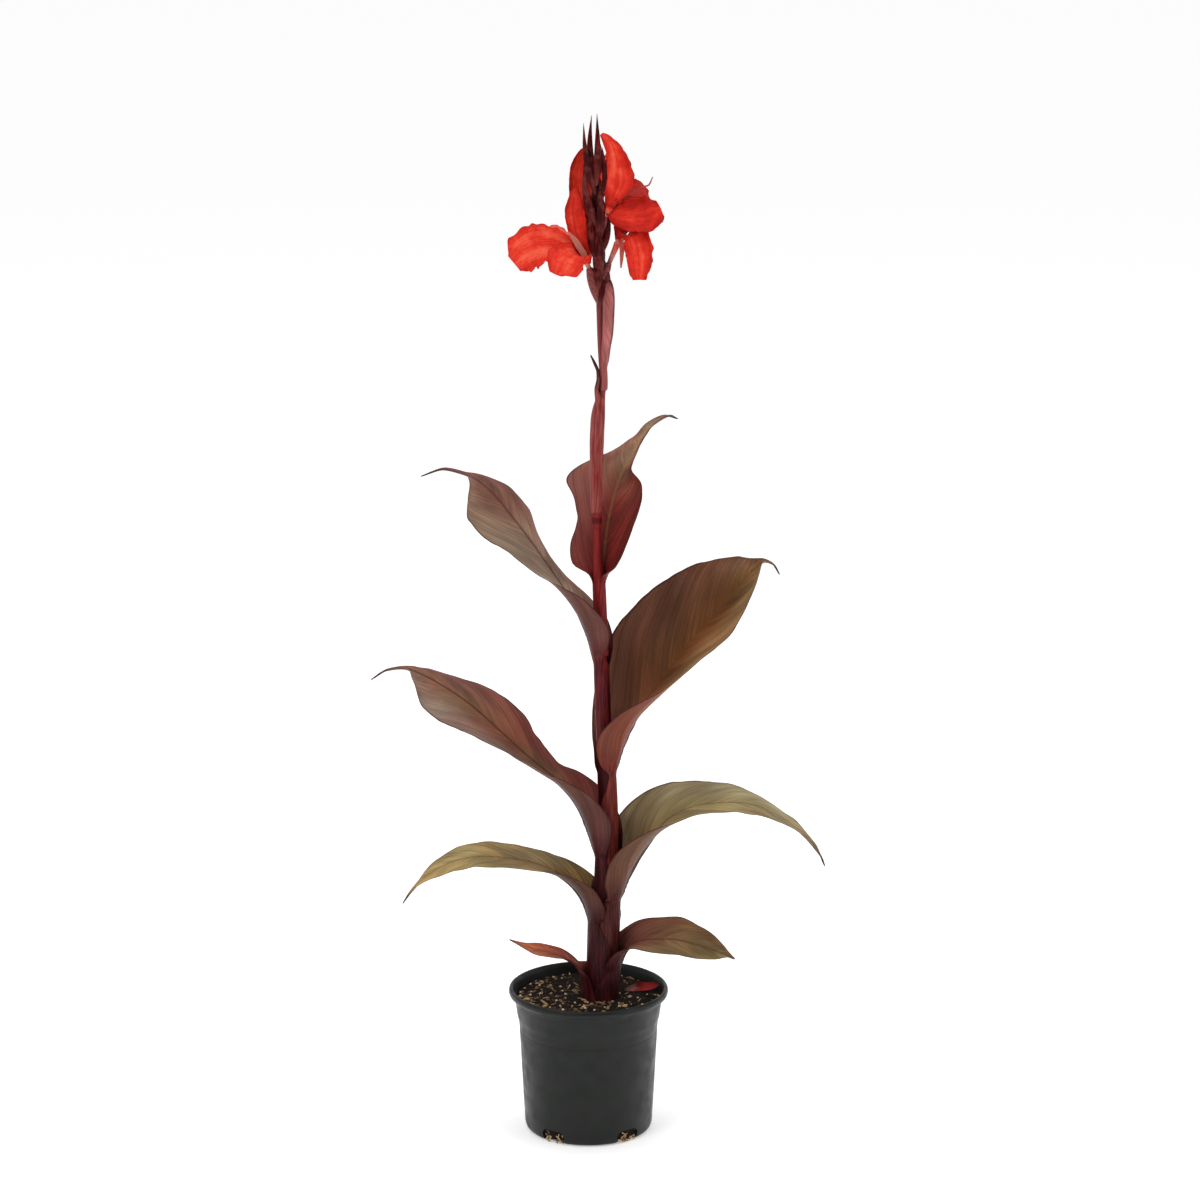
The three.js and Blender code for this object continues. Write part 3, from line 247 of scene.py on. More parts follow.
# Blooms. joint is the height on the axis that the ovary grows from, seat is where the petals stand on it,
# and axis is the way the corolla tube runs. A petal's rows are as a blade's, measured from the seat. pale is
# how faded a petal is, and glow how far it turns from deep red to orange: partly the petal's own orange and
# partly painted light, lower on the petals that stand in shade.
BLOOMS = [
    {
        "name": "bloom_1_left_lower", "joint": 866, "seat": [1.5, -5, 902], "ovary": 5.6,
        "axis": [-0.55, -0.15, 1], "tube": 12, "petals": [
            {"heading": 186, "wave": [2, 4, 20], "glow": 0.72, "rows": [
                [3, 0, 5, -30, 3, 50, 3, 50, 0.6], [12, 0, 14, -46, 8, 44, 7, 40, 0.5],
                [25, 0, 22, -58, 13, 30, 12, 30, 0.4], [42, 0, 25, -64, 20, 24, 19, 26, 0.3],
                [58, 0, 22, -64, 23, 18, 22, 22, 0.2], [70, 0, 15, -62, 22, 12, 17, 20, 0.2],
                [77, 0, 9, -60, 17, 10, 6, 10, 0.2],
            ]},
            {"heading": 230, "wave": [2, 3, 90], "glow": 0.66, "rows": [
                [2, 0, 5, 0, 3.5, 60, 3.5, 60, 0.6], [12, 0, 13, -14, 12, 60, 9, 50, 0.5],
                [24, 0, 17, -24, 20, 46, 15, 40, 0.4], [37, 0, 14, -30, 24, 36, 17, 30, 0.3],
                [46, 0, 5, -34, 19, 20, 13, 20, 0.2], [50, 0, 0, -34, 7, 10, 7, 10, 0.2],
            ]},
            {"heading": 112, "wave": [1.5, 3, 0], "glow": 0.6, "rows": [
                [2, 1, 6, 0, 3, 50, 3, 50, 0.6], [5, 6, 20, 0, 7, 44, 9, 40, 0.5],
                [8, 12, 40, 0, 10, 36, 12, 36, 0.4], [9, 14, 60, 0, 9, 30, 11, 30, 0.3],
                [7, 13, 74, 0, 6, 30, 6, 30, 0.2], [5, 12, 82, 0, 2, 20, 2, 20, 0.2],
            ]},
            {"heading": 150, "wave": [2, 3, 60], "glow": 0.7, "pale": 0.3, "rows": [
                [3, 0, 5, 10, 3, 50, 3, 50, 0.6], [16, 0, 18, 10, 9, 40, 9, 40, 0.5],
                [32, 0, 30, 6, 16, 30, 16, 30, 0.4], [50, 0, 33, 0, 18, 24, 18, 24, 0.3],
                [62, 0, 27, 0, 9, 20, 9, 20, 0.2],
            ]},
            {"heading": 196, "wave": [0, 1, 0], "glow": 0.6, "pale": 0.95, "rows": [
                [3, 0, 4, -20, 2.5, 60, 2.5, 60, 0.5], [7, 0, 14, -55, 4, 50, 4.5, 50, 0.4],
                [14, 0, 26, -65, 3.6, 40, 4, 40, 0.3], [21, 0, 37, -60, 0.8, 20, 0.8, 20, 0.2],
            ]},
        ],
    },
    {
        "name": "bloom_2_left_upper", "joint": 912, "seat": [3, 6, 936], "ovary": 4,
        "axis": [-0.4, 0.2, 1], "tube": 10, "petals": [
            {"heading": 100, "wave": [1.2, 3, 0], "glow": 0.64, "rows": [
                [2, 2, 5, 0, 3, 40, 3, 40, 0.6], [4, 9, 20, 0, 8, 50, 7, 50, 0.5],
                [6, 13, 42, 0, 10, 54, 9, 50, 0.4], [6, 12, 63, 0, 10, 54, 9, 50, 0.3],
                [3, 8, 79, 0, 5, 40, 5, 40, 0.2], [1, 5, 85, 0, 1.2, 30, 1.2, 30, 0.2],
            ]},
            {"heading": 60, "wave": [1.2, 3, 90], "glow": 0.6, "rows": [
                [2, 1, 5, 0, 3, 40, 3, 40, 0.6], [6, 3, 22, 0, 8, 50, 8, 50, 0.5],
                [9, 4, 46, 0, 9, 50, 9, 50, 0.4], [7, 4, 66, 0, 6, 50, 6, 50, 0.3],
                [5, 4, 76, 0, 1, 30, 1, 30, 0.2],
            ]},
            {"heading": 170, "wave": [0, 1, 0], "glow": 0.45, "pale": 0.35, "rows": [
                [3, 0, 3, 0, 2.5, 60, 2.5, 60, 0.5], [7, 0, 12, 0, 4, 50, 4, 50, 0.4],
                [14, 0, 24, 0, 3.4, 40, 3.4, 40, 0.3], [17, 0, 34, 0, 0.8, 20, 0.8, 20, 0.2],
            ]},
        ],
    },
    {
        "name": "bloom_3_right_upper", "joint": 932, "seat": [17, -6, 954], "ovary": 4,
        "axis": [0.5, -0.2, 1], "tube": 10, "petals": [
            {"heading": 80, "wave": [1.8, 3, 0], "glow": 0.6, "rows": [
                [2, -2, 5, 0, 3, 40, 3, 40, 0.6], [4, -7, 18, 0, 9, 40, 9, 40, 0.5],
                [6, -11, 35, 0, 17, 34, 19, 30, 0.4], [8, -11, 51, 0, 15, 34, 15, 30, 0.3],
                [6, -8, 66, 0, 9, 30, 9, 30, 0.25], [2, -1, 77, 0, 6, 30, 6, 30, 0.2],
                [0, 4, 81, 0, 2, 20, 2, 20, 0.2],
            ]},
            {"heading": -12, "wave": [2, 4, 0], "glow": 0.46, "rows": [
                [-2, 0, 8, 40, 7, 30, 3, 50, 0.6], [5, 0, 5, 50, 11, 34, 8, 40, 0.5],
                [17, 0, 1, 56, 18, 26, 17, 30, 0.4], [36, 0, 1, 60, 19, 18, 19, 24, 0.3],
                [48, 0, 4, 60, 20, 16, 18, 20, 0.25], [56, 0, 9, 58, 9, 10, 9, 10, 0.2],
            ]},
            {"heading": 32, "wave": [1.8, 3, 50], "glow": 0.28, "rows": [
                [2, 0, 5, 20, 3, 50, 3, 50, 0.6], [14, 0, 15, 34, 9, 40, 9, 40, 0.5],
                [29, 0, 22, 40, 15, 30, 15, 30, 0.4], [43, 0, 22, 40, 13, 24, 13, 24, 0.3],
                [51, 0, 17, 40, 5, 20, 5, 20, 0.2],
            ]},
            {"heading": 8, "wave": [0, 1, 0], "glow": 0.12, "pale": 0.2, "rows": [
                [3, 0, 4, 0, 2.4, 60, 2.4, 60, 0.5], [20, 0, 20, 0, 2.6, 50, 2.6, 50, 0.4],
                [36, 0, 28, 0, 1.8, 50, 1.8, 50, 0.3], [43, 0, 30, 0, 1.4, 50, 1.4, 50, 0.3],
                [47, 0, 38, 0, 0.8, 20, 0.8, 20, 0.2],
            ]},
        ],
    },
    {
        "name": "bloom_4_right_lower", "joint": 884, "seat": [21, 3, 906], "ovary": 4.4,
        "axis": [0.42, 0.05, 1], "tube": 22, "petals": [
            {"heading": -78, "wave": [2, 4, 30], "glow": 0.6, "rows": [
                [2, 9, 20, 0, 3, 50, 3, 50, 0.6], [6, 15, 29, 0, 10, 44, 9, 40, 0.5],
                [13, 21, 27, 0, 16, 34, 14, 30, 0.4], [17, 25, 13, 0, 15, 24, 13, 24, 0.3],
                [18, 26, -3, 0, 13, 20, 11, 20, 0.25], [17, 26, -15, 0, 7, 10, 6, 10, 0.2],
            ]},
            {"heading": 20, "wave": [2, 3, 0], "glow": 0.4, "rows": [
                [10, 0, 20, 0, 3, 50, 3, 50, 0.6], [20, 0, 34, 10, 9, 40, 9, 40, 0.5],
                [33, 0, 45, 20, 15, 30, 15, 30, 0.4], [48, 0, 46, 20, 14, 24, 14, 24, 0.3],
                [56, 0, 40, 20, 6, 20, 6, 20, 0.2],
            ]},
            {"heading": 85, "wave": [2, 3, 80], "glow": 0.4, "rows": [
                [2, -9, 20, 0, 3, 50, 3, 50, 0.6], [9, -12, 34, 0, 9, 40, 9, 40, 0.5],
                [20, -16, 48, 0, 15, 30, 15, 30, 0.4], [34, -18, 54, 0, 14, 24, 14, 24, 0.3],
                [44, -18, 50, 0, 6, 20, 6, 20, 0.2],
            ]},
            {"heading": -40, "wave": [0, 1, 0], "glow": 0.5, "pale": 0.75, "rows": [
                [8, 2, 19, 0, 2.4, 60, 2.4, 60, 0.5], [11, 3, 24, 0, 4, 50, 4, 50, 0.4],
                [13, 3, 12, 0, 3.6, 40, 3.6, 40, 0.3], [13, 3, -4, 0, 0.8, 20, 0.8, 20, 0.2],
            ]},
        ],
    },
]

# Closed buds on the spike: [foot height, heading, length, radius, lean in degrees].
BUDS = [
    [975, 200, 72, 3.6, 10], [983, 165, 70, 3.8, 3], [984, -75, 71, 3.8, 1.5], [962, 60, 62, 4, 6],
    [942, 212, 66, 4.8, 13], [930, -65, 58, 5.2, 3], [925, 120, 60, 4.6, 8], [915, 20, 52, 5, 7],
    [908, 205, 60, 4.8, 6], [893, -95, 58, 6, 2], [896, 75, 50, 5, 4], [878, -110, 42, 5.2, 1.5],
    [880, 75, 40, 5, 3], [870, 5, 40, 4.6, 6], [862, -60, 36, 4, 3], [964, 0, 58, 4.4, 4],
]

UPRIGHT = Vector((0, 0, 1))

# Girth along a bud and along an ovary: [share of its length, share of its radius].
BUD_SHAPE = [[0, 0.5], [0.12, 0.82], [0.3, 0.98], [0.6, 0.72], [0.85, 0.3], [1, 0.04]]
BUD_KNOTS = 12
STEM_KNOT = 4
BUD_BELLY = 0.9
# The dark ring round the stem's joint: its height, and how far it is dark and then fades, in metres.
JOINT_HEIGHT = 0.646
JOINT_RING = (0.0015, 0.005)
TUBE_RADII = [2.2, 2.8, 3.6]
TUBE_PLACES = (-0.1, 0.5, 1)
OVARY_SHAPE = [(0, 0.5), (0.2, 0.8), (0.45, 1), (0.75, 0.95), (1, 0.6)]

# The petal lying on the soil, and its shape: [share of its length, share of its width, rise].
FALLEN_PETAL = {
    "middle": [55.5, 16, 143.8], "heading": 11, "roll": 34, "length": 38, "width": 5.6, "curl": 24,
    "seed": 3.5,
}
FALLEN_SHAPE = [[-0.5, 0.15, 0], [-0.3, 0.7, 0.6], [0, 1, 1.4], [0.3, 0.8, 2.4], [0.5, 0.12, 3.4]]

# The pot's section, [radius, height, rounding]: from under the floor up the outside to the rolled rim, and
# down the inside.
POT_FOOT = 66
POT_PROFILE = [
    [0, 0, 0], [60, 0, 2], [64.4, 1.8, 2], [66, 6, 2], [71.3, 106.4, 0.8], [71.1, 107.8, 0.8],
    [71.4, 110, 0.8], [72, 116.6, 2], [73.5, 122, 2], [76, 139, 1], [77.2, 143, 1], [81.4, 144.6, 1.6],
    [82.5, 147.4, 1.6], [82, 150.6, 1.2], [80.4, 152, 1], [78.6, 152, 1.2], [76.6, 148, 1.6],
    [74.4, 139, 1.4], [71.8, 120.5, 1], [70.2, 117.5, 1], [64.4, 6.6, 1], [62.6, 3.3, 1], [59, 2, 1],
    [0, 2, 0],
]
DRAINS = 5
DRAIN = {"width": 26, "sill": -1, "top": 14, "round": 6, "reach": 8, "turn": 38}
ARCH_STEPS = 6
EASED_SHARE = 0.45
SHARP_ANGLE = 38

# The strands of root and straw that show in each drain: how many, how far out and how thick.
STRANDS = {
    "count": 22, "reach": 63.6, "spread": 1.4, "wide": 11, "high": 12, "length": 9, "thin": 0.35,
    "thick": 0.8, "lean": 85, "shortest": 0.4, "bend": (-0.5, 0.9), "clear": 0.4,
}

# The potting mix's side, [radius, height], from its floor up to its edge.
SOIL_SIDE = [
    [0, 2.3], [58.7, 2.3], [62.3, 3.6], [64.1, 6.9], [69.9, 117.8], [71.5, 120.8], [74.3, 141],
]
SOIL_TOP = 141
# Swells of the mix's top: [width, layer of the noise, share of the relief].
SWELLS = [(26, 3.0, 0.9), (9, 8.0, 0.55), (3.5, 1.0, 0.35)]
SOIL_GRID = (44, 132)
STREWN_REACH = 71.5
# Crumbs grow scarce along THINNING_WAY, between two distances in metres from the middle. Patches of noise
# shift that limit by up to PATCH_REACH, MOST_CRUMBS is how many fit on a square metre, and JAG_SCALE is how
# finely their corners are knocked about.
THINNING_WAY = (0.8, 0.6, 0.0)
THINNING_FROM = 0.025
THINNING_TO = 0.07
PATCH_SCALE = 34.0
PATCH_REACH = 0.09
MOST_CRUMBS = 4e5
JAG_SCALE = 420.0

FLOOR_HALF_WIDTH = 30
WHITE = (1, 1, 1, 1)
SENSOR_WIDTH = 36
# The surround goes from its front brightness to its full one between these shares of the way to the back.
SURROUND_TURN = (-0.95, -0.1)
# Large soft lights: name, place, width and share of the key light's power.
LIGHTS = [
    ("Key", (-1.5, -1.9, 2.6), 1.4, 1.0),
    ("Fill", (2.4, -1.2, 1.6), 1.6, 0.5),
    ("Top", (0.1, 0.5, 3.0), 1.8, 0.9),
]
LIT_POINT = (0, 0, 0.5)

# Display colours of each leaf. face and back are [share of the way to the tip, colour]. left and right are
# the colour towards that margin of the face and how strongly it shows; on some leaves these and some face
# colours are painted sheen, as marked below. flush is how strongly patches of flush_colour show on the face.
# The sheath's colour ends at sheath_to.
LEAF_TINTS = {
    "leaf_1_base_left": {
        "face": [(0.0, "6e2626"), (0.3, "8c4a3e"), (0.6, "ae6448"), (1.0, "be683e")],
        "back": [(0.0, "5c2a2a"), (1.0, "96503e")], "left": ("a8745e", 0.4), "right": ("944638", 0.4),
        "flush": 0.4, "flush_colour": "c0643c", "line": "6e3630", "rib": "7a3c34", "rib_share": 0.5,
        "shade": "2a0e11", "sheath": "5a1c20", "sheath_to": 0.08,
    },
    "leaf_2_base_right": {
        "face": [(0.0, "722e26"), (0.25, "7c4a3e"), (0.55, "75603c"), (1.0, "7e7044")],
        "back": [(0.0, "5a3030"), (0.6, "64503a"), (1.0, "6e6238")],
        "left": ("7e4a3e", 0.45), "right": ("82744a", 0.65), "flush": 0.25, "flush_colour": "7a3a2c",
        "line": "4e3626", "rib": "5a3028", "rib_share": 0.6, "shade": "2a0e11", "sheath": "4c1a1e",
        "sheath_to": 0.12,
    },
    "leaf_3_lower_left": {
        "face": [(0.0, "442420"), (0.2, "5a4026"), (0.45, "887854"), (0.75, "b09862"), (1.0, "d0a468")],
        "back": [(0.0, "4e2828"), (0.4, "5e4836"), (1.0, "9a8050")],
        "left": ("ac965f", 0.4), "right": ("8e8460", 0.4), "flush": 0.3, "flush_colour": "b4843c",
        "line": "5c4a2c", "rib": "6a4a30", "rib_share": 0.5, "shade": "2a0e11", "sheath": "4a1a1c",
        "sheath_to": 0.1,
    },
    "leaf_4_lower_right": {
        "face": [(0.0, "5e261e"), (0.15, "7c5a38"), (0.4, "8e8052"), (0.8, "96895e"), (1.0, "724c36")],
        "back": [(0.0, "5e382e"), (0.4, "6e523e"), (1.0, "7a6c50")],
        "left": ("a2977a", 0.55), "right": ("846f40", 0.5), "flush": 0.3, "flush_colour": "805628",
        "line": "50401f", "rib": "5e3a28", "rib_share": 0.5, "shade": "36130f", "sheath": "5a2826",
        "sheath_to": 0.1,
    },
    "leaf_5_middle_left": {
        "face": [(0.0, "4a2418"), (0.25, "664228"), (0.5, "7c5438"), (0.8, "846448"), (1.0, "988868")],
        "back": [(0.0, "4c2424"), (0.4, "6e4c40"), (1.0, "7a6450")],
        # The pale left colour is painted sheen on the near half.
        "left": ("908579", 0.65), "right": ("743638", 0.6), "flush": 0.45, "flush_colour": "72302f",
        "line": "4a2a20", "rib": "4a2420", "rib_share": 0.8, "shade": "301013", "sheath": "501d21",
        "sheath_to": 0.08,
    },
    "leaf_6_middle_right": {
        "face": [(0.0, "6a2e28"), (0.2, "7a4a30"), (0.45, "623c1c"), (0.75, "5e3c1c"), (1.0, "806440")],
        "back": [(0.0, "6e342a"), (0.4, "84503c"), (1.0, "8c6c48")],
        # The pale right colour is painted sheen along the right margin.
        "left": ("74504a", 0.45), "right": ("9a7c56", 0.75), "flush": 0.3, "flush_colour": "743e24",
        "line": "40240f", "rib": "5e3a1c", "rib_share": 0.6, "shade": "5a2220", "sheath": "84382c",
        "sheath_to": 0.08,
    },
    "leaf_7_upper_left": {
        # The pale face colours near the base and the pale left colour are painted sheen.
        "face": [(0.0, "603634"), (0.25, "96846f"), (0.45, "8e7a66"), (0.65, "795747"), (0.85, "775146"),
                 (1.0, "5e3a36")],
        "back": [(0.0, "5c3230"), (0.5, "705044"), (1.0, "6a4a40")],
        "left": ("90806a", 0.5), "right": ("7a4842", 0.5), "flush": 0.3, "flush_colour": "7c4c40",
        "line": "54342a", "rib": "5a2a28", "rib_share": 0.7, "shade": "40131a", "sheath": "6e2426",
        "sheath_to": 0.1,
    },
    "leaf_8_upper_back": {
        "face": [(0.0, "661d1d"), (0.3, "6a2722"), (0.5, "8a6850"), (0.75, "9e8c6c"), (1.0, "704840")],
        "back": [(0.0, "5e2424"), (0.5, "7a5048"), (1.0, "5c3434")],
        # The lighter left colour is partly the leaf's own colour and partly painted sheen.
        "left": ("8e5850", 0.55), "right": ("5a1e17", 0.8), "flush": 0.3, "flush_colour": "84281f",
        "line": "48201a", "rib": "8c7648", "rib_share": 0.35, "shade": "6c1e1f", "sheath": "8a2a2c",
        "sheath_to": 0.06,
    },
    "bract_1_stalk": {
        "face": [(0.0, "7a3c3a"), (1.0, "3c1a1c")], "back": [(0.0, "7e3c38"), (1.0, "46201f")],
        "left": ("9c6460", 0.4), "right": ("6a2a28", 0.4), "flush": 0.3, "flush_colour": "8a3630",
        "line": "602a28", "rib": "7a3a38", "rib_share": 0.0, "shade": "7a2422", "sheath": "94504a",
        "sheath_to": 0.1,
    },
    "bract_2_spathe": {
        "face": [(0.0, "8a4846"), (1.0, "96504c")], "back": [(0.0, "a86260"), (1.0, "92504c")],
        "left": ("a86c68", 0.4), "right": ("a86c68", 0.4), "flush": 0.3, "flush_colour": "9c5452",
        "line": "743836", "rib": "8a4846", "rib_share": 0.0, "shade": "8a4644", "sheath": "aa6a66",
        "sheath_to": 0.3,
    },
}

# Runs of numbers


def smooth(s):
    return s * s * (3 - 2 * s)


def clamp(value, low=0.0, high=1.0):
    return max(low, min(high, value))


def flow(rows, t):
    """A smooth run through rows of numbers that never overshoots a row. t goes from 0 to len(rows) - 1."""
    last = len(rows) - 1
    i = min(int(t), last - 1)
    s = t - i

    def slope(k, c):
        if k == 0:
            return rows[1][c] - rows[0][c]
        if k == last:
            return rows[last][c] - rows[last - 1][c]
        before = rows[k][c] - rows[k - 1][c]
        after = rows[k + 1][c] - rows[k][c]
        return 2 * before * after / (before + after) if before * after > 0 else 0

    return [
        a * (1 + 2 * s) * (1 - s) ** 2 + b * s * s * (3 - 2 * s)
        + slope(i, c) * s * (1 - s) ** 2 - slope(i + 1, c) * s * s * (1 - s)
        for c, (a, b) in enumerate(zip(rows[i], rows[i + 1]))
    ]


def at_height(rows, column, z):
    """The same run looked up by a column that only rises."""
    low, high = 0.0, len(rows) - 1.0
    for _ in range(40):
        middle = (low + high) / 2
        if flow(rows, middle)[column] < z:
            low = middle
        else:
            high = middle
    return flow(rows, low)


def axis_at(z):
    x, y, _ = at_height(AXIS, 2, z)
    return Vector((x, y, z))


def stem_radius(z):
    return at_height(STEM, 0, z)[1]


def compass(degrees):
    return Vector((math.cos(math.radians(degrees)), math.sin(math.radians(degrees)), 0))


# Sheaths, blades and petals


def rolled_on(leaf, z):
    """The radius of what a leaf's sheath is rolled round: the next younger sheath, or the bare stem."""
    i = LEAVES.index(leaf)
    if i + 1 < len(LEAVES) and LEAVES[i + 1]["foot"] < leaf["notch"]:
        return sheath_radius(LEAVES[i + 1], z) + LEAVES[i + 1]["wall"]
    return stem_radius(z)


def sheath_radius(leaf, z):
    return (rolled_on(leaf, z) + GAP) / math.cos(math.pi / SHEATH_FACETS)


def leaf_rows(leaf):
    """A leaf's sheath rows and then its blade rows. The last column is the play left inside the sheath."""
    heights = [leaf["foot"]]
    for (low, low_near, _), (high, high_near, _) in zip(leaf["margin"], leaf["margin"][1:]):
        steps = math.ceil(max((high - low) / SHEATH_STEP, abs(high_near - low_near) / SHEATH_TURN))
        heights += [low + (high - low) * k / steps for k in range(1, steps + 1)]
    rows = []
    for z in heights:
        _, near, far = at_height(leaf["margin"], 0, z)
        left, right = (near, far) if leaf["near"] == "left" else (far, near)
        radius = sheath_radius(leaf, z)
        play = radius - rolled_on(leaf, z) - GAP / 2
        halves = [radius * math.radians(left), left, radius * math.radians(right), right]
        rows.append([radius, 0, z, 0, *halves, 0, play])
    return rows + [[*row, 0] for row in leaf["blade"]]


def wrap_of(row, whole):
    return min(1, abs(row[5] + row[7]) / whole)


class Shape:
    """Points, faces and named values that are gathered into one mesh. Lengths come in as millimetres."""

    def __init__(self):
        self.points = []
        self.faces = []
        self.traits = {}

    def add(self, points, faces, traits):
        start = len(self.points)
        self.points += [tuple(point * MM) for point in points]
        self.faces += [tuple(start + k for k in face) for face in faces]
        for trait in set(self.traits) | set(traits):
            values = self.traits.setdefault(trait, [0.0] * start)
            values += traits.get(trait, [0.0] * len(points))

    def mesh(self, name):
        mesh = bpy.data.meshes.new(name)
        mesh.from_pydata(self.points, [], self.faces)
        for trait, values in self.traits.items():
            mesh.attributes.new(trait, "FLOAT", "POINT").data.foreach_set("value", values)
        mesh.shade_smooth()
        return mesh


def strip_places(strips):
    """Places across a blade from -1 to 1, closer together at the midrib and beside each margin."""
    inner = [math.copysign(abs(k / strips) ** STRIP_CROWDING, k) for k in range(1 - strips, strips)]
    far_margin = [-place for place in reversed(MARGIN_PLACES)]
    return [*far_margin, *[place * INNER_REACH for place in inner], *MARGIN_PLACES]


def section(row, stand, make, arc, turn, seed):
    """One cross section of a thin blade, from its left margin to its right.

    row is as in LEAVES, with the sheath's play last. stand is (place, across, up), arc the distance along
    the midrib and turn the phase of the margins' waves. Returns the upper skin's points, the lower skin's,
    and each point's share of the way from the midrib to its margin and its distance from the midrib.
    """
    place, across_way, up_way = stand
    _, _, _, _, left_width, left_curl, right_width, right_curl, rib, play = row
    height = make["wave"][0]
    ripple, ripple_length = make["ripple"], make["ripple_length"]
    wrapped = wrap_of(row, SHEATH_WRAP)
    looseness = (1 - wrap_of(row, FLAT_WRAP)) * min(1, (left_width + right_width) / WAVING_WIDTH)
    places = make["places"]
    upper, lower, shares, reaches = [], [], [], []
    for j in reversed(range(len(places))):
        even = -right_width + (left_width + right_width) * j / (len(places) - 1)
        spread = places[j] * (left_width if places[j] > 0 else right_width)
        s = even * wrapped**0.5 + spread * (1 - wrapped**0.5)
        side, width, curl = (-1, right_width, right_curl) if s < 0 else (1, left_width, left_curl)
        share = min(1, abs(s) / width)
        tear = noise.noise((arc / make["tooth"], side * MARGIN_LANE, seed))
        fray = make["fringe"] * looseness * share**4 * tear
        bend = math.radians(curl) if abs(curl) > SLIGHT_CURL else FLAT_BEND
        angle = bend * share * (1 + fray)
        crinkle = noise.noise((arc / ripple_length, s / ripple_length, seed))
        lift = looseness * height * share**3 * math.sin(math.radians(turn + side * MARGIN_LAG))
        lift += looseness * ripple * (MIDRIB_RIPPLE + share**2) * crinkle
        normal = up_way * math.cos(angle) - across_way * (side * math.sin(angle))
        point = place + across_way * (side * width / bend * math.sin(angle))
        point += up_way * (width / bend * (1 - math.cos(angle)) + lift)
        ridge = rib * (0.5 + 0.5 * math.cos(math.pi * min(1, abs(s) / RIB_HALF_WIDTH)))
        groove = make["groove"] * ridge * math.exp(-((s / GROOVE_WIDTH) ** 2)) * (1 - wrapped)
        thickness = make["edge"] + (make["wall"] - make["edge"]) * wrapped
        thickness *= 1 - MARGIN_THINNING * share**8
        upper.append(point + normal * (play - groove))
        lower.append(point - normal * (thickness + ridge - play * share**3))
        shares.append(side * share)
        reaches.append(abs(s))
    return upper, lower, shares, reaches


def loft(shape, rows, heading, put, make, seed):
    """Adds a thin blade, lofted through rows, to a shape.

    put turns a row into the midrib's place. make holds the blade's own sizes: step between sections, places
    of its strips, edge and wall thickness, wave and ripple of its margins, the sizes of LEAF_MARGIN or
    PETAL_MARGIN, and blade_from, the row where the sheath ends.
    """
    out, left = compass(heading), compass(heading + 90)
    last = len(rows) - 1

    def midrib(t):
        return put(flow(rows, clamp(t, 0, last)), out, left)

    stops = []
    for i in range(last):
        count = max(2, math.ceil((midrib(i + 1) - midrib(i)).length / make["step"]))
        stops += [i + k / count for k in range(count)]
    stops.append(last)
    arcs = [0.0]
    for t, following in zip(stops, stops[1:]):
        arcs.append(arcs[-1] + (midrib(following) - midrib(t)).length)
    notch = arcs[stops.index(make["blade_from"])]
    _, waves, start = make["wave"]

    points, across, tipward, vein, distance, back = [], [], [], [], [], []
    size = len(make["places"])
    for t, arc in zip(stops, arcs):
        row = flow(rows, t)
        along = (midrib(t + MIDRIB_NUDGE) - midrib(t - MIDRIB_NUDGE)).normalized()
        along = along.lerp(UPRIGHT, smooth(wrap_of(row, SHEATH_WRAP))).normalized()
        flat = (left - along * left.dot(along)).normalized()
        rise = along.cross(flat)
        roll = math.radians(row[3])
        across_way = flat * math.cos(roll) + rise * math.sin(roll)
        up_way = rise * math.cos(roll) - flat * math.sin(roll)
        turn = 360 * waves * t / last + start
        stand = (put(row, out, left), across_way, up_way)
        upper, lower, shares, reaches = section(row, stand, make, arc, turn, seed)
        points += upper + lower
        across += shares * 2
        tipward += [(arc - notch) / (arcs[-1] - notch)] * (2 * size)
        vein += [(arc - notch - reach * (VEIN_SLANT + VEIN_SWEEP * abs(share))) * MM
                 for share, reach in zip(shares, reaches)] * 2
        distance += [reach * MM for reach in reaches] * 2
        back += [0.0] * size + [1.0] * size

    def top(i, j):
        return i * 2 * size + j

    def under(i, j):
        return top(i, j) + size

    faces = []
    end, tip = size - 1, len(stops) - 1
    for i in range(tip):
        for j in range(end):
            faces.append((top(i, j), top(i, j + 1), top(i + 1, j + 1), top(i + 1, j)))
            faces.append((under(i, j), under(i + 1, j), under(i + 1, j + 1), under(i, j + 1)))
        faces.append((top(i, 0), top(i + 1, 0), under(i + 1, 0), under(i, 0)))
        faces.append((top(i, end), under(i, end), under(i + 1, end), top(i + 1, end)))
    for j in range(end):
        faces.append((top(0, j), under(0, j), under(0, j + 1), top(0, j + 1)))
        faces.append((top(tip, j), top(tip, j + 1), under(tip, j + 1), under(tip, j)))
    shape.add(points, faces, {
        "across": across, "tipward": tipward, "vein": vein, "reach": distance, "back": back,
    })


# Materials


def tint(code):
    """A linear colour from a six-figure display code."""
    parts = [int(code[k:k + 2], 16) / 255 for k in (0, 2, 4)]
    return [part / 12.92 if part <= 0.04045 else ((part + 0.055) / 1.055) ** 2.4 for part in parts] + [1.0]


def painted(colour):
    """A colour that may be given as its display code."""
    return tint(colour) if isinstance(colour, str) else colour


def greys(*stops):
    return [(place, [level, level, level, 1]) for place, level in stops]


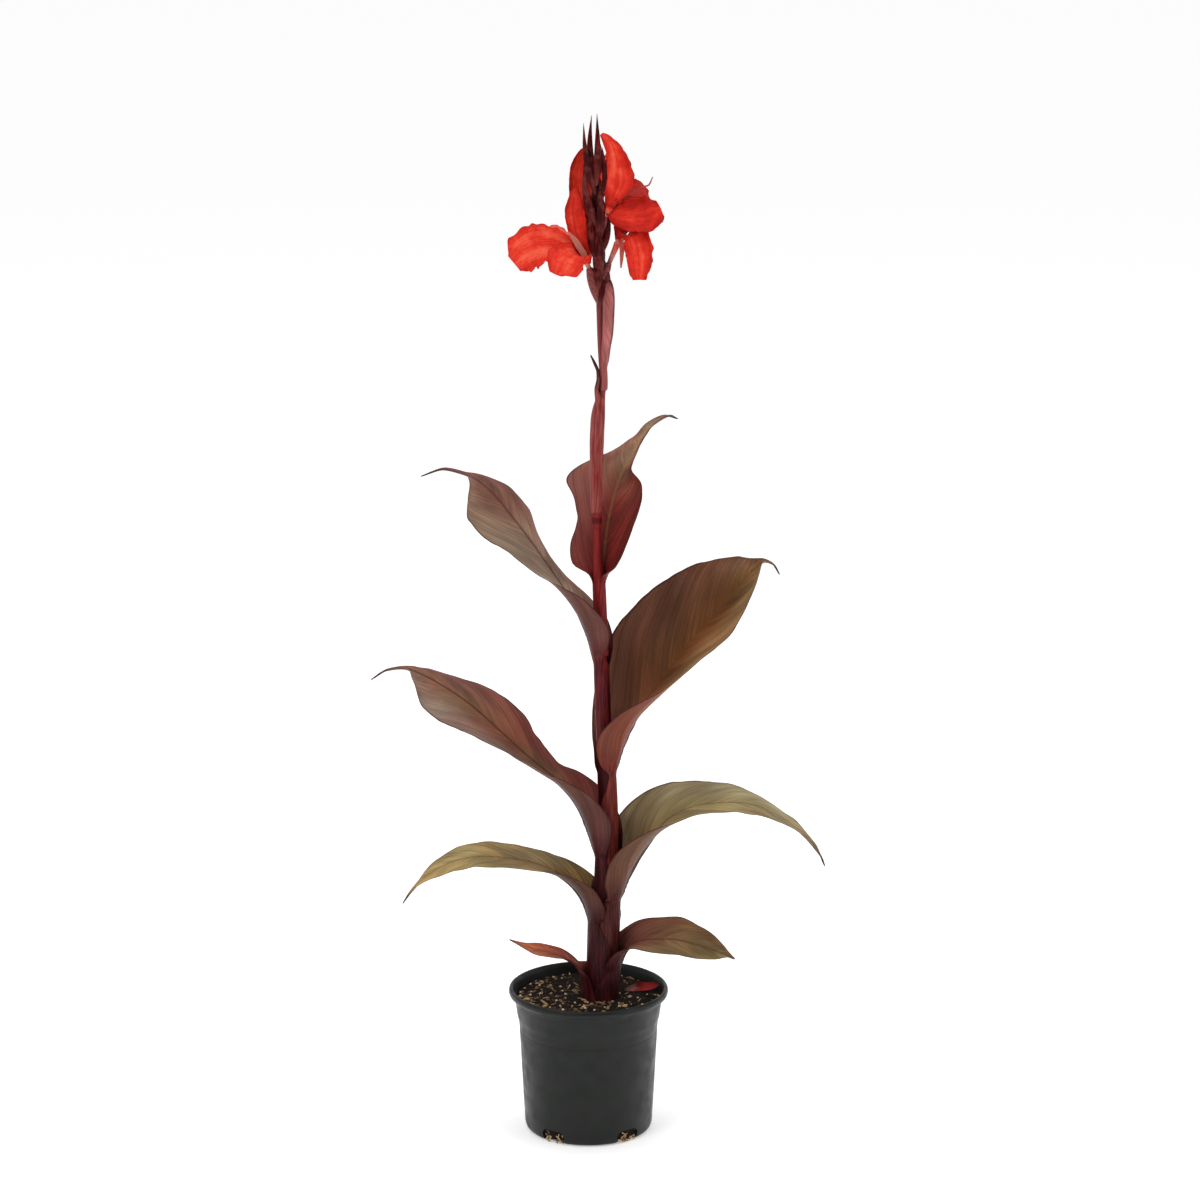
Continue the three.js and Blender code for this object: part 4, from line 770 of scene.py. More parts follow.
class Tree:
    """Short ways to add nodes to a tree. Each gives an output of the new node."""

    def __init__(self, tree):
        self.tree = tree

    def add(self, kind, inputs, output=0, **settings):
        node = self.tree.nodes.new(kind)
        for name, value in settings.items():
            setattr(node, name, value)
        for socket, value in inputs.items():
            if isinstance(value, bpy.types.NodeSocket):
                self.tree.links.new(value, node.inputs[socket])
            else:
                node.inputs[socket].default_value = value
        return node.outputs[output]

    def maths(self, operation, first, second=0.0, third=0.0):
        return self.add("ShaderNodeMath", {0: first, 1: second, 2: third}, operation=operation)

    def total(self, first, *others):
        for other in others:
            first = self.maths("ADD", first, other)
        return first

    def vector(self, x, y, z=0.0):
        return self.add("ShaderNodeCombineXYZ", {"X": x, "Y": y, "Z": z})

    def spread(self, value, low, high, to_low=0.0, to_high=1.0):
        """Value from low to high, spread smoothly over to_low to to_high."""
        inputs = {"Value": value, "From Min": low, "From Max": high, "To Min": to_low, "To Max": to_high}
        return self.add("ShaderNodeMapRange", inputs, "Result", interpolation_type="SMOOTHSTEP")


class Finish(Tree):
    """A material and short ways to add nodes to it."""

    def __init__(self, name, **settings):
        self.material = bpy.data.materials.new(name)
        self.material.use_nodes = True
        super().__init__(self.material.node_tree)
        self.surface = self.tree.nodes["Principled BSDF"]
        for socket, value in settings.items():
            self.surface.inputs[socket.replace("_", " ")].default_value = value

    def trait(self, name):
        return self.add("ShaderNodeAttribute", {}, "Fac", attribute_name=name)

    def place(self):
        return self.add("ShaderNodeTexCoord", {}, "Object")

    def axes(self):
        return self.add("ShaderNodeSeparateXYZ", {"Vector": self.place()}).node.outputs

    def noise(self, where, scale, detail=2.0, roughness=0.5):
        inputs = {"Vector": where, "Scale": scale, "Detail": detail, "Roughness": roughness}
        return self.add("ShaderNodeTexNoise", inputs, "Fac")

    def fibres(self, squeeze, scale, detail=3.0):
        """Noise that is drawn out along Z."""
        x, y, z = self.axes()
        return self.noise(self.vector(x, y, self.maths("MULTIPLY", z, squeeze)), scale, detail)

    def ramp(self, value, stops):
        colour = self.add("ShaderNodeValToRGB", {"Fac": value}, "Color")
        elements = colour.node.color_ramp.elements
        while len(elements) < len(stops):
            elements.new(0.5)
        for element, (place, paint) in zip(elements, stops):
            element.position = place
            element.color = painted(paint)
        return colour

    def mix(self, share, first, second, blend="MIX"):
        inputs = {0: share, 6: painted(first), 7: painted(second)}
        return self.add("ShaderNodeMix", inputs, 2, data_type="RGBA", blend_type=blend)

    def paint(self, socket, value):
        self.tree.links.new(value, self.surface.inputs[socket])

    def bump(self, height, strength, distance):
        inputs = {"Height": height, "Strength": strength, "Distance": distance}
        self.paint("Normal", self.add("ShaderNodeBump", inputs, "Normal"))


# Settings


def number(name, description, default, **limits):
    return bpy.props.FloatProperty(name=name, description=description, default=default, **limits)


def length(name, description, default):
    return number(name, description, default, min=0, unit="LENGTH")


def share(name, description, default):
    return number(name, description, default, min=0, max=1, subtype="FACTOR")


def whole(name, description, default):
    return bpy.props.IntProperty(name=name, description=description, default=default, min=1)


def colour(name, description, code):
    return bpy.props.FloatVectorProperty(
        name=name, description=description, default=tint(code), min=0, max=1, size=4, subtype="COLOR")


class PotLook(bpy.types.PropertyGroup):
    """The nursery pot."""

    sides: whole("Sides", "Steps round the pot", 160)
    plastic: colour("Plastic", "Colour of the moulded plastic", "060c07")
    scuff: colour("Scuffs", "Colour of faint rubbed patches", "171b17")
    gloss: share("Roughness", "How dull the plastic is", 0.38)


class SoilLook(bpy.types.PropertyGroup):
    """The potting mix."""

    relief: length("Relief", "How far the surface rises and dips", 0.0016)
    bark_size: length("Bark size", "Length of the largest pieces of bark", 0.0094)
    grit_size: length("Grit size", "Width of the largest pale grains", 0.0042)
    seed: whole("Seed", "Which of the random layouts is used", 11)
    peat: colour("Peat", "Colour of the moist peat", "1c120b")
    bark: colour("Bark", "Colour of the pieces of bark", "5a3a22")
    straw: colour("Straw", "Colour of the palest chips", "c8a678")
    grit: colour("Grit", "Colour of the pale grains", "ddcdb0")


class StemLook(bpy.types.PropertyGroup):
    """The stem, its buds and its ovaries."""

    step: length("Step", "Distance between rings along the stem", 0.003)
    sides: whole("Sides", "Steps round the stem", 28)
    foot: colour("Stem foot", "Colour of the stem inside the sheaths", "32080c")
    red: colour("Stem", "Colour of the stem above the sheaths", "862524")
    rosy: colour("Flower stalk", "Colour of the stem below the blooms", "87403e")
    bud: colour("Bud", "Colour of the closed buds", "36080b")
    # The bud bloom colour is partly the buds' powdery bloom and partly painted highlight.
    bloom: colour("Bud bloom", "Colour of the powdery bloom on the buds", "7c3c38")
    ovary: colour("Ovary", "Colour of the warty ovaries", "8a4a48")


class LeafLook(bpy.types.PropertyGroup):
    """The leaves and bracts."""

    step: length("Step", "Distance between sections along a leaf", 0.003)
    strips: whole("Strips", "Strips from the midrib to each margin", 16)
    thickness: length("Thickness", "Thickness of a blade beside its midrib", 0.0006)
    ripple: length("Ripple", "Height of the small ripples near a margin", 0.0012)
    vein_spacing: length("Vein spacing", "Distance between the side veins", 0.0065)
    sheath: colour("Sheath", "Colour of the sheaths round the stem", "2a0e11")
    margin: colour("Margin", "Colour of the thin margins", "4a1c20")
    # How strongly the painted sheen and painted shade patches show on a leaf.
    bulge: share("Painted sheen", "How far the bulges and hollows of a leaf differ in shade", 0.6)
    dull: share("Roughness", "How dull a leaf is", 0.42)


class BloomLook(bpy.types.PropertyGroup):
    """The blooms and the fallen petal."""

    step: length("Step", "Distance between sections along a petal", 0.0012)
    strips: whole("Strips", "Strips from the middle to each margin of a petal", 16)
    ruffle: length("Ruffle", "Height of the ruffles near a margin", 0.0026)
    sides: whole("Sides", "Steps round a corolla tube", 16)
    # Deep red is mostly painted shade, in the creases and at the base of each petal, and it also streaks the
    # tubes. Glow is the lightest orange, partly painted light.
    deep: colour("Deep red", "Colour of the darkest folds", "860d08")
    crimson: colour("Crimson", "Colour of the shaded petals", "bb1a0e")
    scarlet: colour("Scarlet", "Main colour of the petals", "e63422")
    glow: colour("Glow", "Colour of the lightest parts", "ff6e50")
    pale: colour("Pale red", "Colour of the faded sepals", "cf8878")
    wilted: colour("Wilted red", "Colour of the petal on the mix", "a02422")
    dull: share("Roughness", "How dull a petal is", 0.55)


class StageLook(bpy.types.PropertyGroup):
    """The floor, the light and the camera."""

    lens: number("Lens", "Focal length", 122.438, min=1, unit="CAMERA")
    pitch: number("Pitch", "How far the camera looks down", math.radians(13.897), subtype="ANGLE")
    camera: bpy.props.FloatVectorProperty(
        name="Camera", description="Where the camera stands", default=(0.0119, -4.0, 1.5528),
        subtype="TRANSLATION")
    floor: colour("Floor", "Colour of the floor", "f8f8f8")
    lift: number("Floor glow", "How far the floor is lifted towards white", 0.38, min=0)
    sky: number("Surround", "Brightness of the white surround", 0.75, min=0)
    front: number("Front", "Brightness of the surround in front of the plant", 0.22, min=0)
    key: number("Key light", "Power of the large soft light", 26, min=0, unit="POWER")


def plastic_finish(look):
    finish = Finish("Pot plastic", Roughness=look.gloss, Specular_IOR_Level=0.3)
    place = finish.place()
    scuffs = finish.noise(place, 38.0, 5.0, 0.65)
    rubbed = finish.spread(scuffs, 0.52, 0.8, 0.0, 0.4)
    finish.paint("Base Color", finish.mix(rubbed, look.plastic, look.scuff))
    dust = finish.noise(place, 60.0, 4.0)
    finish.paint("Roughness", finish.spread(dust, 0.3, 0.75, look.gloss - 0.06, look.gloss + 0.16))
    finish.bump(finish.noise(place, 900.0, 2.0), 0.1, 0.0003)
    return finish.material


def peat_finish(look):
    finish = Finish("Peat", Roughness=0.95, Specular_IOR_Level=0.2)
    place = finish.place()
    clods = finish.noise(place, 320.0, 6.0, 0.7)
    peat = finish.ramp(clods, [(0.35, look.peat), (0.6, "1c120b"), (0.76, "2e1f13"), (0.92, look.bark)])
    finish.paint("Base Color", peat)
    finish.bump(finish.noise(place, 450.0, 8.0, 0.75), 1.0, 0.003)
    return finish.material


def crumb_finish(name, look, stops):
    """Crumbs whose colour is drawn from stops by each crumb's own shade."""
    finish = Finish(name, Roughness=0.85, Specular_IOR_Level=0.3)
    place = finish.place()
    grain = finish.noise(place, 700.0, 4.0, 0.7)
    shade = finish.ramp(finish.trait("shade"), stops)
    finish.paint("Base Color", finish.mix(finish.spread(grain, 0.35, 0.7, 0.0, 0.45), shade, look.peat))
    finish.bump(grain, 0.6, 0.0006)
    return finish.material


def cane_finish(look):
    """The bare stem: dark in its sheaths, red above them, rosy below the blooms and dark in the spike."""
    finish = Finish("Cane", Roughness=0.45, Specular_IOR_Level=0.1)
    fibres = finish.fibres(0.06, 900.0)
    height = finish.axes()["Z"]
    base = finish.ramp(height, [
        (0.3, look.foot), (0.46, look.foot), (0.54, look.red), (0.66, look.red), (0.74, look.rosy),
        (0.86, look.rosy), (0.93, look.bud)])
    from_joint = finish.maths("ABSOLUTE", finish.maths("SUBTRACT", height, JOINT_HEIGHT))
    base = finish.mix(finish.spread(from_joint, *JOINT_RING, 0.7, 0.0), base, look.foot)
    dark = finish.mix(0.5, base, look.foot)
    finish.paint("Base Color", finish.mix(finish.spread(fibres, 0.3, 0.6), dark, base))
    finish.bump(fibres, 0.25, 0.0006)
    return finish.material


def bud_finish(look):
    finish = Finish("Bud", Roughness=0.45, Specular_IOR_Level=0.08)
    fibres = finish.fibres(0.08, 700.0)
    # Patches of the bloom colour: partly the powdery bloom and partly painted highlights.
    bloom_and_highlight = finish.noise(finish.place(), 120.0, 3.0)
    stops = [(0.0, "6a3330"), (0.35, look.bud), (0.8, look.bud), (1.0, "240a0c")]
    body = finish.ramp(finish.trait("tipward"), stops)
    streaked = finish.mix(finish.spread(fibres, 0.45, 0.75, 0.0, 0.6), body, "8a1c16")
    finish.paint("Base Color", finish.mix(finish.spread(bloom_and_highlight, 0.46, 0.66, 0.0, 0.5), streaked, look.bloom))
    finish.bump(fibres, 0.3, 0.0006)
    return finish.material


def ovary_finish(look):
    finish = Finish("Ovary", Roughness=0.5, Specular_IOR_Level=0.12)
    inputs = {"Vector": finish.place(), "Scale": 750.0}
    warts = finish.add("ShaderNodeTexVoronoi", inputs, "Distance", feature="SMOOTH_F1")
    raised = finish.spread(warts, 0.0, 0.6, 1.0, 0.0)
    finish.paint("Base Color", finish.mix(raised, look.ovary, "5c2626"))
    finish.bump(raised, 0.8, 0.0008)
    return finish.material


# How the side veins lighten and darken a leaf: partly the veins' own colour and partly painted sheen on the
# stripes between them.
BAND_SHADES = greys((0.3, 0.28), (0.5, 0.5), (0.7, 0.78))
# How the painted sheen patches lighten and darken a leaf: painted sheen and painted shade laid on as colour,
# not taken from the shape.
PAINTED_SHEEN_SHADES = greys((0.36, 0.26), (0.5, 0.5), (0.66, 0.82))
FACE_BANDS = 0.62
BACK_BANDS = 0.55
# How many bands and fine lines lie between two side veins, and how far the noise that makes them and the
# painted sheen patches runs from the midrib to a margin, in metres.
BANDS_PER_VEIN = 1.3
LINES_PER_VEIN = 3.4
VEIN_LANE = 0.004
PAINTED_SHEEN_LANE = 0.045


def leaf_finish(name, tints, look):
    """A leaf: a sheath, then a blade that changes from base to tip, with side veins, a rib and painted
    sheen.
    """
    finish = Finish(name, Roughness=look.dull, Specular_IOR_Level=0.1)
    vein, across, tipward = finish.trait("vein"), finish.trait("across"), finish.trait("tipward")
    reach = finish.trait("reach")
    lane = finish.vector(vein, finish.maths("MULTIPLY", across, VEIN_LANE))
    bands = finish.noise(lane, BANDS_PER_VEIN / look.vein_spacing, 3.0, 0.6)
    lines = finish.noise(lane, LINES_PER_VEIN / look.vein_spacing, 3.0, 0.6)
    blotches = finish.noise(finish.place(), 22.0, 3.0)
    # Painted sheen and painted shade: broad light and dark patches laid over a leaf's colour.
    slanted = finish.vector(vein, finish.maths("MULTIPLY", across, PAINTED_SHEEN_LANE))
    painted_sheen_patches = finish.ramp(finish.noise(slanted, 24.0, 2.0), PAINTED_SHEEN_SHADES)

    def veins_and_painted_sheen(base, depth):
        base = finish.mix(look.bulge, base, painted_sheen_patches, blend="OVERLAY")
        base = finish.mix(depth, base, finish.ramp(bands, BAND_SHADES), blend="OVERLAY")
        return finish.mix(finish.spread(lines, 0.45, 0.7, 0.0, 0.4), base, tints["line"])

    face = finish.ramp(tipward, tints["face"])
    # Colours towards each margin; on some leaves they are painted sheen.
    for side, way in (("left", 1.0), ("right", -1.0)):
        code, strength = tints[side]
        towards = finish.spread(finish.maths("MULTIPLY", across, way), 0.05, 0.85, 0.0, strength)
        face = finish.mix(towards, face, code)
    flush = finish.spread(finish.total(blotches, finish.maths("MULTIPLY", bands, 0.6)), 0.62, 1.0)
    face = finish.mix(finish.maths("MULTIPLY", flush, tints["flush"]), face, tints["flush_colour"])
    rib = finish.spread(reach, 0.0005, 0.0022, tints["rib_share"], 0.0)
    face = finish.mix(rib, veins_and_painted_sheen(face, FACE_BANDS), tints["rib"])

    under = veins_and_painted_sheen(finish.ramp(tipward, tints["back"]), BACK_BANDS)
    under = finish.mix(finish.spread(reach, 0.0015, 0.0045, 0.85, 0.0), under, look.sheath)
    skin = finish.mix(finish.trait("back"), face, under)

    edge = finish.spread(finish.maths("ABSOLUTE", across), 0.955, 0.99, 0.0, 0.85)
    skin = finish.mix(edge, skin, look.margin)
    rolled = finish.spread(tipward, -0.03, tints["sheath_to"], 1.0, 0.0)
    fibres = finish.fibres(0.08, 500.0, 4.0)
    stalk = finish.mix(finish.spread(fibres, 0.35, 0.7), tints["shade"], tints["sheath"])
    finish.paint("Base Color", finish.mix(rolled, skin, stalk))

    ribbed = finish.total(finish.maths("MULTIPLY", bands, 2.0), lines, finish.maths("MULTIPLY", fibres, 0.5))
    finish.bump(ribbed, 0.35, 0.0012)
    finish.paint("Roughness", finish.spread(lines, 0.3, 0.7, look.dull - 0.06, look.dull + 0.1))
    return finish.material


def petal_finish(look):
    """A petal that goes from deep red to orange with its glow, and is faded where it is pale.

    The glow is partly the petal's own orange and partly painted light, and painted shade darkens its creases
    and its base.
    """
    finish = Finish("Petal", Roughness=look.dull, Specular_IOR_Level=0.12)
    across, tipward, glow = finish.trait("across"), finish.trait("tipward"), finish.trait("glow")
    outward = finish.maths("ABSOLUTE", across)
    fan = finish.vector(across, finish.maths("MULTIPLY", tipward, 0.14), glow)
    veins = finish.noise(fan, 26.0, 4.0, 0.6)
    patches = finish.noise(finish.place(), 60.0, 4.0, 0.6)
    # Painted light and painted shade of creases along each petal.
    painted_fold_shading = finish.noise(fan, 1.7, 1.0)
    # heat is the petal's own colour with painted light: glow is partly painted light, and the darkening
    # towards the base is painted shade.
    heat = finish.total(
        glow, finish.spread(patches, 0.3, 0.7, -0.14, 0.14), finish.spread(painted_fold_shading, 0.35, 0.65, -0.1, 0.1),
        finish.spread(veins, 0.35, 0.65, 0.05, -0.09), finish.spread(tipward, 0.0, 0.35, -0.3, 0.0),
        finish.spread(outward, 0.5, 0.9, 0.06, -0.06), finish.spread(outward, 0.93, 0.99, 0.0, -0.3))
    stops = [(0.0, look.deep), (0.35, look.crimson), (0.65, look.scarlet), (1.0, look.glow)]
    body = finish.ramp(heat, stops)
    faded = finish.mix(finish.spread(veins, 0.45, 0.75, 0.0, 0.7), look.pale, look.crimson)
    finish.paint("Base Color", finish.mix(finish.trait("pale"), body, faded))
    crepe = finish.noise(finish.place(), 420.0, 4.0, 0.65)
    finish.bump(finish.total(veins, crepe), 0.4, 0.0014)
    return finish.material


def fallen_finish(look):
    """A wilted petal: a brown foot and a dark crimson blade."""
    finish = Finish("Wilted petal", Roughness=look.dull, Specular_IOR_Level=0.12)
    wilt = finish.noise(finish.place(), 160.0, 4.0, 0.6)
    along = finish.total(finish.trait("tipward"), finish.spread(wilt, 0.3, 0.7, -0.1, 0.1))
    stops = [(0.0, "4a3028"), (0.22, "8a5a50"), (0.36, "7c1418"), (0.7, look.wilted), (1.0, "560c10")]
    finish.paint("Base Color", finish.ramp(along, stops))
    finish.bump(wilt, 0.4, 0.001)
    return finish.material


def tube_finish(look):
    """The tube that a bloom's petals stand on, flushed towards its mouth."""
    finish = Finish("Corolla tube", Roughness=look.dull, Specular_IOR_Level=0.12)
    streaks = finish.noise(finish.place(), 500.0, 3.0)
    body = finish.ramp(finish.trait("tipward"), [(0.0, "6a3432"), (0.4, look.pale), (1.0, look.scarlet)])
    finish.paint("Base Color", finish.mix(finish.spread(streaks, 0.4, 0.8, 0.0, 0.4), body, look.deep))
    return finish.material


# Geometry Nodes trees


class Nodes(Tree):
    """A Geometry Nodes tree under construction, with named inputs and one geometry output."""

    def __init__(self, name, inputs):
        super().__init__(bpy.data.node_groups.new(name, "GeometryNodeTree"))
        self.socket("Geometry", "INPUT", "Geometry")
        for title, (kind, default) in inputs.items():
            socket = self.socket(title, "INPUT", kind)
            if default is not None:
                socket.default_value = default
        self.socket("Geometry", "OUTPUT", "Geometry")
        self.given = self.tree.nodes.new("NodeGroupInput").outputs

    def socket(self, title, way, kind):
        return self.tree.interface.new_socket(title, in_out=way, socket_type="NodeSocket" + kind)

    def chance(self, low, high, seed=0):
        inputs = {2: low, 3: high, "Seed": seed}
        return self.add("FunctionNodeRandomValue", inputs, 1, data_type="FLOAT")

    def marked(self, geometry, name, value, domain):
        inputs = {"Geometry": geometry, "Name": name, "Value": value}
        return self.add("GeometryNodeStoreNamedAttribute", inputs, data_type="FLOAT", domain=domain)

    def scaled(self, vector, factor):
        return self.add("ShaderNodeVectorMath", {0: vector, "Scale": factor}, operation="SCALE")

    def finish(self, geometry):
        real = self.add("GeometryNodeRealizeInstances", {"Geometry": geometry})
        done = self.add("GeometryNodeSetMaterial", {"Geometry": real, "Material": self.given["Material"]})
        self.tree.links.new(done, self.tree.nodes.new("NodeGroupOutput").inputs[0])
        return self.tree


def tube_tree():
    """A round limb along each path, as thick as the path's own radius."""
    nodes = Nodes("Tube along a path", {
        "Step": ("Float", 0.003), "Sides": ("Int", 24), "Material": ("Material", None)})
    given = nodes.given
    path = nodes.add("GeometryNodeCurveSplineType", {"Curve": given["Geometry"]}, spline_type="CATMULL_ROM")
    path = nodes.add("GeometryNodeResampleCurve", {"Curve": path, "Length": given["Step"]}, mode="LENGTH")
    path = nodes.marked(path, "tipward", nodes.add("GeometryNodeSplineParameter", {}, "Factor"), "POINT")
    path = nodes.marked(path, "shade", nodes.chance(0.0, 1.0), "CURVE")
    ring = nodes.add("GeometryNodeCurvePrimitiveCircle", {"Resolution": given["Sides"], "Radius": 1.0})
    tube = nodes.add("GeometryNodeCurveToMesh", {
        "Curve": path, "Profile Curve": ring, "Scale": nodes.add("GeometryNodeInputRadius", {}),
        "Fill Caps": True})
    return nodes.finish(nodes.add("GeometryNodeSetShadeSmooth", {"Geometry": tube}))


def strew_tree():
    """Crumbs strewn over a surface, fewer to the right and the back, each turned and sized at random."""
    nodes = Nodes("Strewn crumbs", {
        "Spacing": ("Float", 0.004),
        "Size": ("Float", 0.004),
        "Unevenness": ("Float", 0.4),
        "Proportions": ("Vector", (1.0, 0.6, 0.4)),
        "Tilt": ("Float", 0.4),
        "Roughness": ("Float", 0.25),
        "Bare": ("Float", 0.0),
        "Seed": ("Int", 0),
        "Material": ("Material", None),
    })
    given = nodes.given
    seed, tilt, size = given["Seed"], given["Tilt"], given["Size"]
    where = nodes.add("GeometryNodeInputPosition", {})
    lie = nodes.add("ShaderNodeVectorMath", {0: where, 1: THINNING_WAY}, "Value", operation="DOT_PRODUCT")
    patch = nodes.add("ShaderNodeTexNoise", {"Vector": where, "Scale": PATCH_SCALE, "Detail": 1.0})
    crowd = nodes.add("ShaderNodeMapRange", {
        "Value": nodes.maths("MULTIPLY_ADD", patch, PATCH_REACH, lie), "From Min": THINNING_FROM,
        "From Max": THINNING_TO, "To Min": 1.0, "To Max": nodes.maths("SUBTRACT", 1.0, given["Bare"])})
    points = nodes.add("GeometryNodeDistributePointsOnFaces", {
        "Mesh": given["Geometry"], "Distance Min": given["Spacing"], "Density Max": MOST_CRUMBS,
        "Density Factor": crowd, "Seed": seed}, distribute_method="POISSON")
    back = nodes.maths("MULTIPLY", tilt, -1.0)
    spin = nodes.add("FunctionNodeRandomValue", {
        0: nodes.vector(back, back, -math.pi), 1: nodes.vector(tilt, tilt, math.pi), "Seed": seed,
    }, data_type="FLOAT_VECTOR")
    girth = nodes.chance(nodes.maths("SUBTRACT", 1.0, given["Unevenness"]), 1.0, seed)
    scale = nodes.scaled(given["Proportions"], nodes.maths("MULTIPLY", girth, size))
    crumb = nodes.add("GeometryNodeMeshIcoSphere", {"Radius": 0.5, "Subdivisions": 1})
    crumbs = nodes.add("GeometryNodeInstanceOnPoints", {
        "Points": points, "Instance": crumb, "Rotation": spin, "Scale": scale})
    crumbs = nodes.marked(crumbs, "shade", nodes.chance(0.0, 1.0, seed), "INSTANCE")
    real = nodes.add("GeometryNodeRealizeInstances", {"Geometry": crumbs})
    jag = nodes.add("ShaderNodeTexNoise", {"Vector": where, "Scale": JAG_SCALE, "Detail": 1.0}, "Color")
    jag = nodes.add("ShaderNodeVectorMath", {0: jag, 1: (0.5, 0.5, 0.5)}, operation="SUBTRACT")
    offset = nodes.scaled(jag, nodes.maths("MULTIPLY", size, given["Roughness"]))
    return nodes.finish(nodes.add("GeometryNodeSetPosition", {"Geometry": real, "Offset": offset}))


def grow(obj, tree, values):
    """Gives an object a tree with these inputs, and turns the result into a plain mesh at the origin."""
    modifier = obj.modifiers.new(tree.name, "NODES")
    modifier.node_group = tree
    for item in tree.interface.items_tree:
        if item.in_out == "INPUT" and item.name in values:
            modifier[item.identifier] = values[item.name]
    return settled(obj)


def settled(obj):
    """Replaces an object by a plain mesh object of what its modifiers make."""
    depsgraph = bpy.context.evaluated_depsgraph_get()
    mesh = bpy.data.meshes.new_from_object(
        obj.evaluated_get(depsgraph), preserve_all_data_layers=True, depsgraph=depsgraph)
    name = obj.name
    bpy.data.objects.remove(obj)
    return placed(name, mesh)


def placed(name, data):
    obj = bpy.data.objects.new(name, data)
    bpy.context.scene.collection.objects.link(obj)
    return obj


def piece_of(name, shape, material):
    piece = placed(name, shape.mesh(name))
    piece.data.materials.append(material)
    return piece


def show(piece, slot, *nodes):
    """Puts a finished piece on the root body; it may stand in for nodes of the frame, which are hidden."""
    if len(piece.data.polygons) == 0:
        raise RuntimeError(f"{piece.name} has no faces")
    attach(piece, ROOT)
    if nodes:
        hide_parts(*nodes)


# The pot


def eased(profile, steps=4):
    """A [radius, height, rounding] profile with each corner eased by a curve that long."""
    points = []
    for k, (r, z, rounding) in enumerate(profile):
        corner = Vector((r, z))
        if rounding == 0:
            points.append(corner)
            continue
        before = Vector(profile[k - 1][:2]) - corner
        after = Vector(profile[k + 1][:2]) - corner
        start = corner + before.normalized() * min(rounding, before.length * EASED_SHARE)
        finish = corner + after.normalized() * min(rounding, after.length * EASED_SHARE)
        for i in range(steps + 1):
            s = i / steps
            points.append(start * (1 - s) ** 2 + corner * (2 * s * (1 - s)) + finish * s**2)
    return points


def lathed(shape, profile, sides):
    """Turns a profile that starts and ends on the axis into a closed solid of revolution."""
    inner = profile[1:-1]
    points = [compass(360 * j / sides) * r + UPRIGHT * z for r, z in inner for j in range(sides)]
    points += [UPRIGHT * profile[0][1], UPRIGHT * profile[-1][1]]
    first, last = len(points) - 2, len(points) - 1
    faces = []
    for j in range(sides):
        k = (j + 1) % sides
        faces.append((first, k, j))
        for i in range(len(inner) - 1):
            row = i * sides
            faces.append((row + j, row + k, row + sides + k, row + sides + j))
        top = (len(inner) - 1) * sides
        faces.append((top + j, top + k, last))
    shape.add(points, faces, {})


def drain_cutter(turn):
    """An arch that is pushed through the foot of the pot's wall."""
    half, shoulder = DRAIN["width"] / 2, DRAIN["top"] - DRAIN["round"]
    outline = [(-half, DRAIN["sill"]), (half, DRAIN["sill"])]
    for middle, start in ((half - DRAIN["round"], 0), (DRAIN["round"] - half, 90)):
        for k in range(ARCH_STEPS + 1):
            way = compass(start + 90 * k / ARCH_STEPS) * DRAIN["round"]
            outline.append((middle + way.x, shoulder + way.y))
    shape = Shape()
    count = len(outline)
    out, along = compass(turn - 90), compass(turn)
    points = [out * (POT_FOOT + reach) + along * x + UPRIGHT * z
              for reach in (-DRAIN["reach"], DRAIN["reach"]) for x, z in outline]
    faces = [tuple(range(count - 1, -1, -1)), tuple(range(count, 2 * count))]
    faces += [(k, (k + 1) % count, (k + 1) % count + count, k + count) for k in range(count)]
    shape.add(points, faces, {})
    return shape.mesh("drain")


class CANNA_OT_pot(bpy.types.Operator):
    """Turn the nursery pot and cut its drains"""

    bl_idname = "canna.pot"
    bl_label = "Pot"

    def execute(self, context):
        look = context.scene.canna_pot
        shape = Shape()
        lathed(shape, eased(POT_PROFILE), look.sides)
        pot = placed("nursery_pot", shape.mesh("nursery_pot"))
        cutters = [placed("drain", drain_cutter(DRAIN["turn"] + 360 * k / DRAINS)) for k in range(DRAINS)]
        for cutter in cutters:
            cut = pot.modifiers.new("Drain", "BOOLEAN")
            cut.object, cut.operation, cut.solver = cutter, "DIFFERENCE", "EXACT"
        pot = settled(pot)
        for cutter in cutters:
            bpy.data.objects.remove(cutter)
        pot.data.set_sharp_from_angle(angle=math.radians(SHARP_ANGLE))
        pot.data.materials.clear()
        pot.data.materials.append(plastic_finish(look))
        show(pot, "pot_plastic", "pot")
        return {"FINISHED"}


# The potting mix


def soil_height(x, y, relief):
    swell = 0.0
    for width, layer, share_of_relief in SWELLS:
        swell += noise.noise((x / width, y / width, layer)) * share_of_relief
    return SOIL_TOP + relief * swell


def soil_top(shape, relief, reach):
    """Adds the uneven top of the potting mix, out to a radius, and returns the index of its outer ring."""
    rings, sides = SOIL_GRID
    start = len(shape.points)
    points = []
    for ring in range(rings, 0, -1):
        for j in range(sides):
            spot = compass(360 * j / sides) * (reach * ring / rings)
            points.append(spot + UPRIGHT * soil_height(spot.x, spot.y, relief))
    points.append(UPRIGHT * soil_height(0, 0, relief))
    shape.add(points, rounds(rings, sides) + fan((rings - 1) * sides, sides, rings * sides), {})
    return start


def rounds(rows, sides):
    """The faces between rings of points that follow one another."""
    return [
        (i * sides + j, i * sides + (j + 1) % sides, (i + 1) * sides + (j + 1) % sides, (i + 1) * sides + j)
        for i in range(rows - 1) for j in range(sides)
    ]


def fan(ring, sides, middle):
    return [(ring + j, ring + (j + 1) % sides, middle) for j in range(sides)]


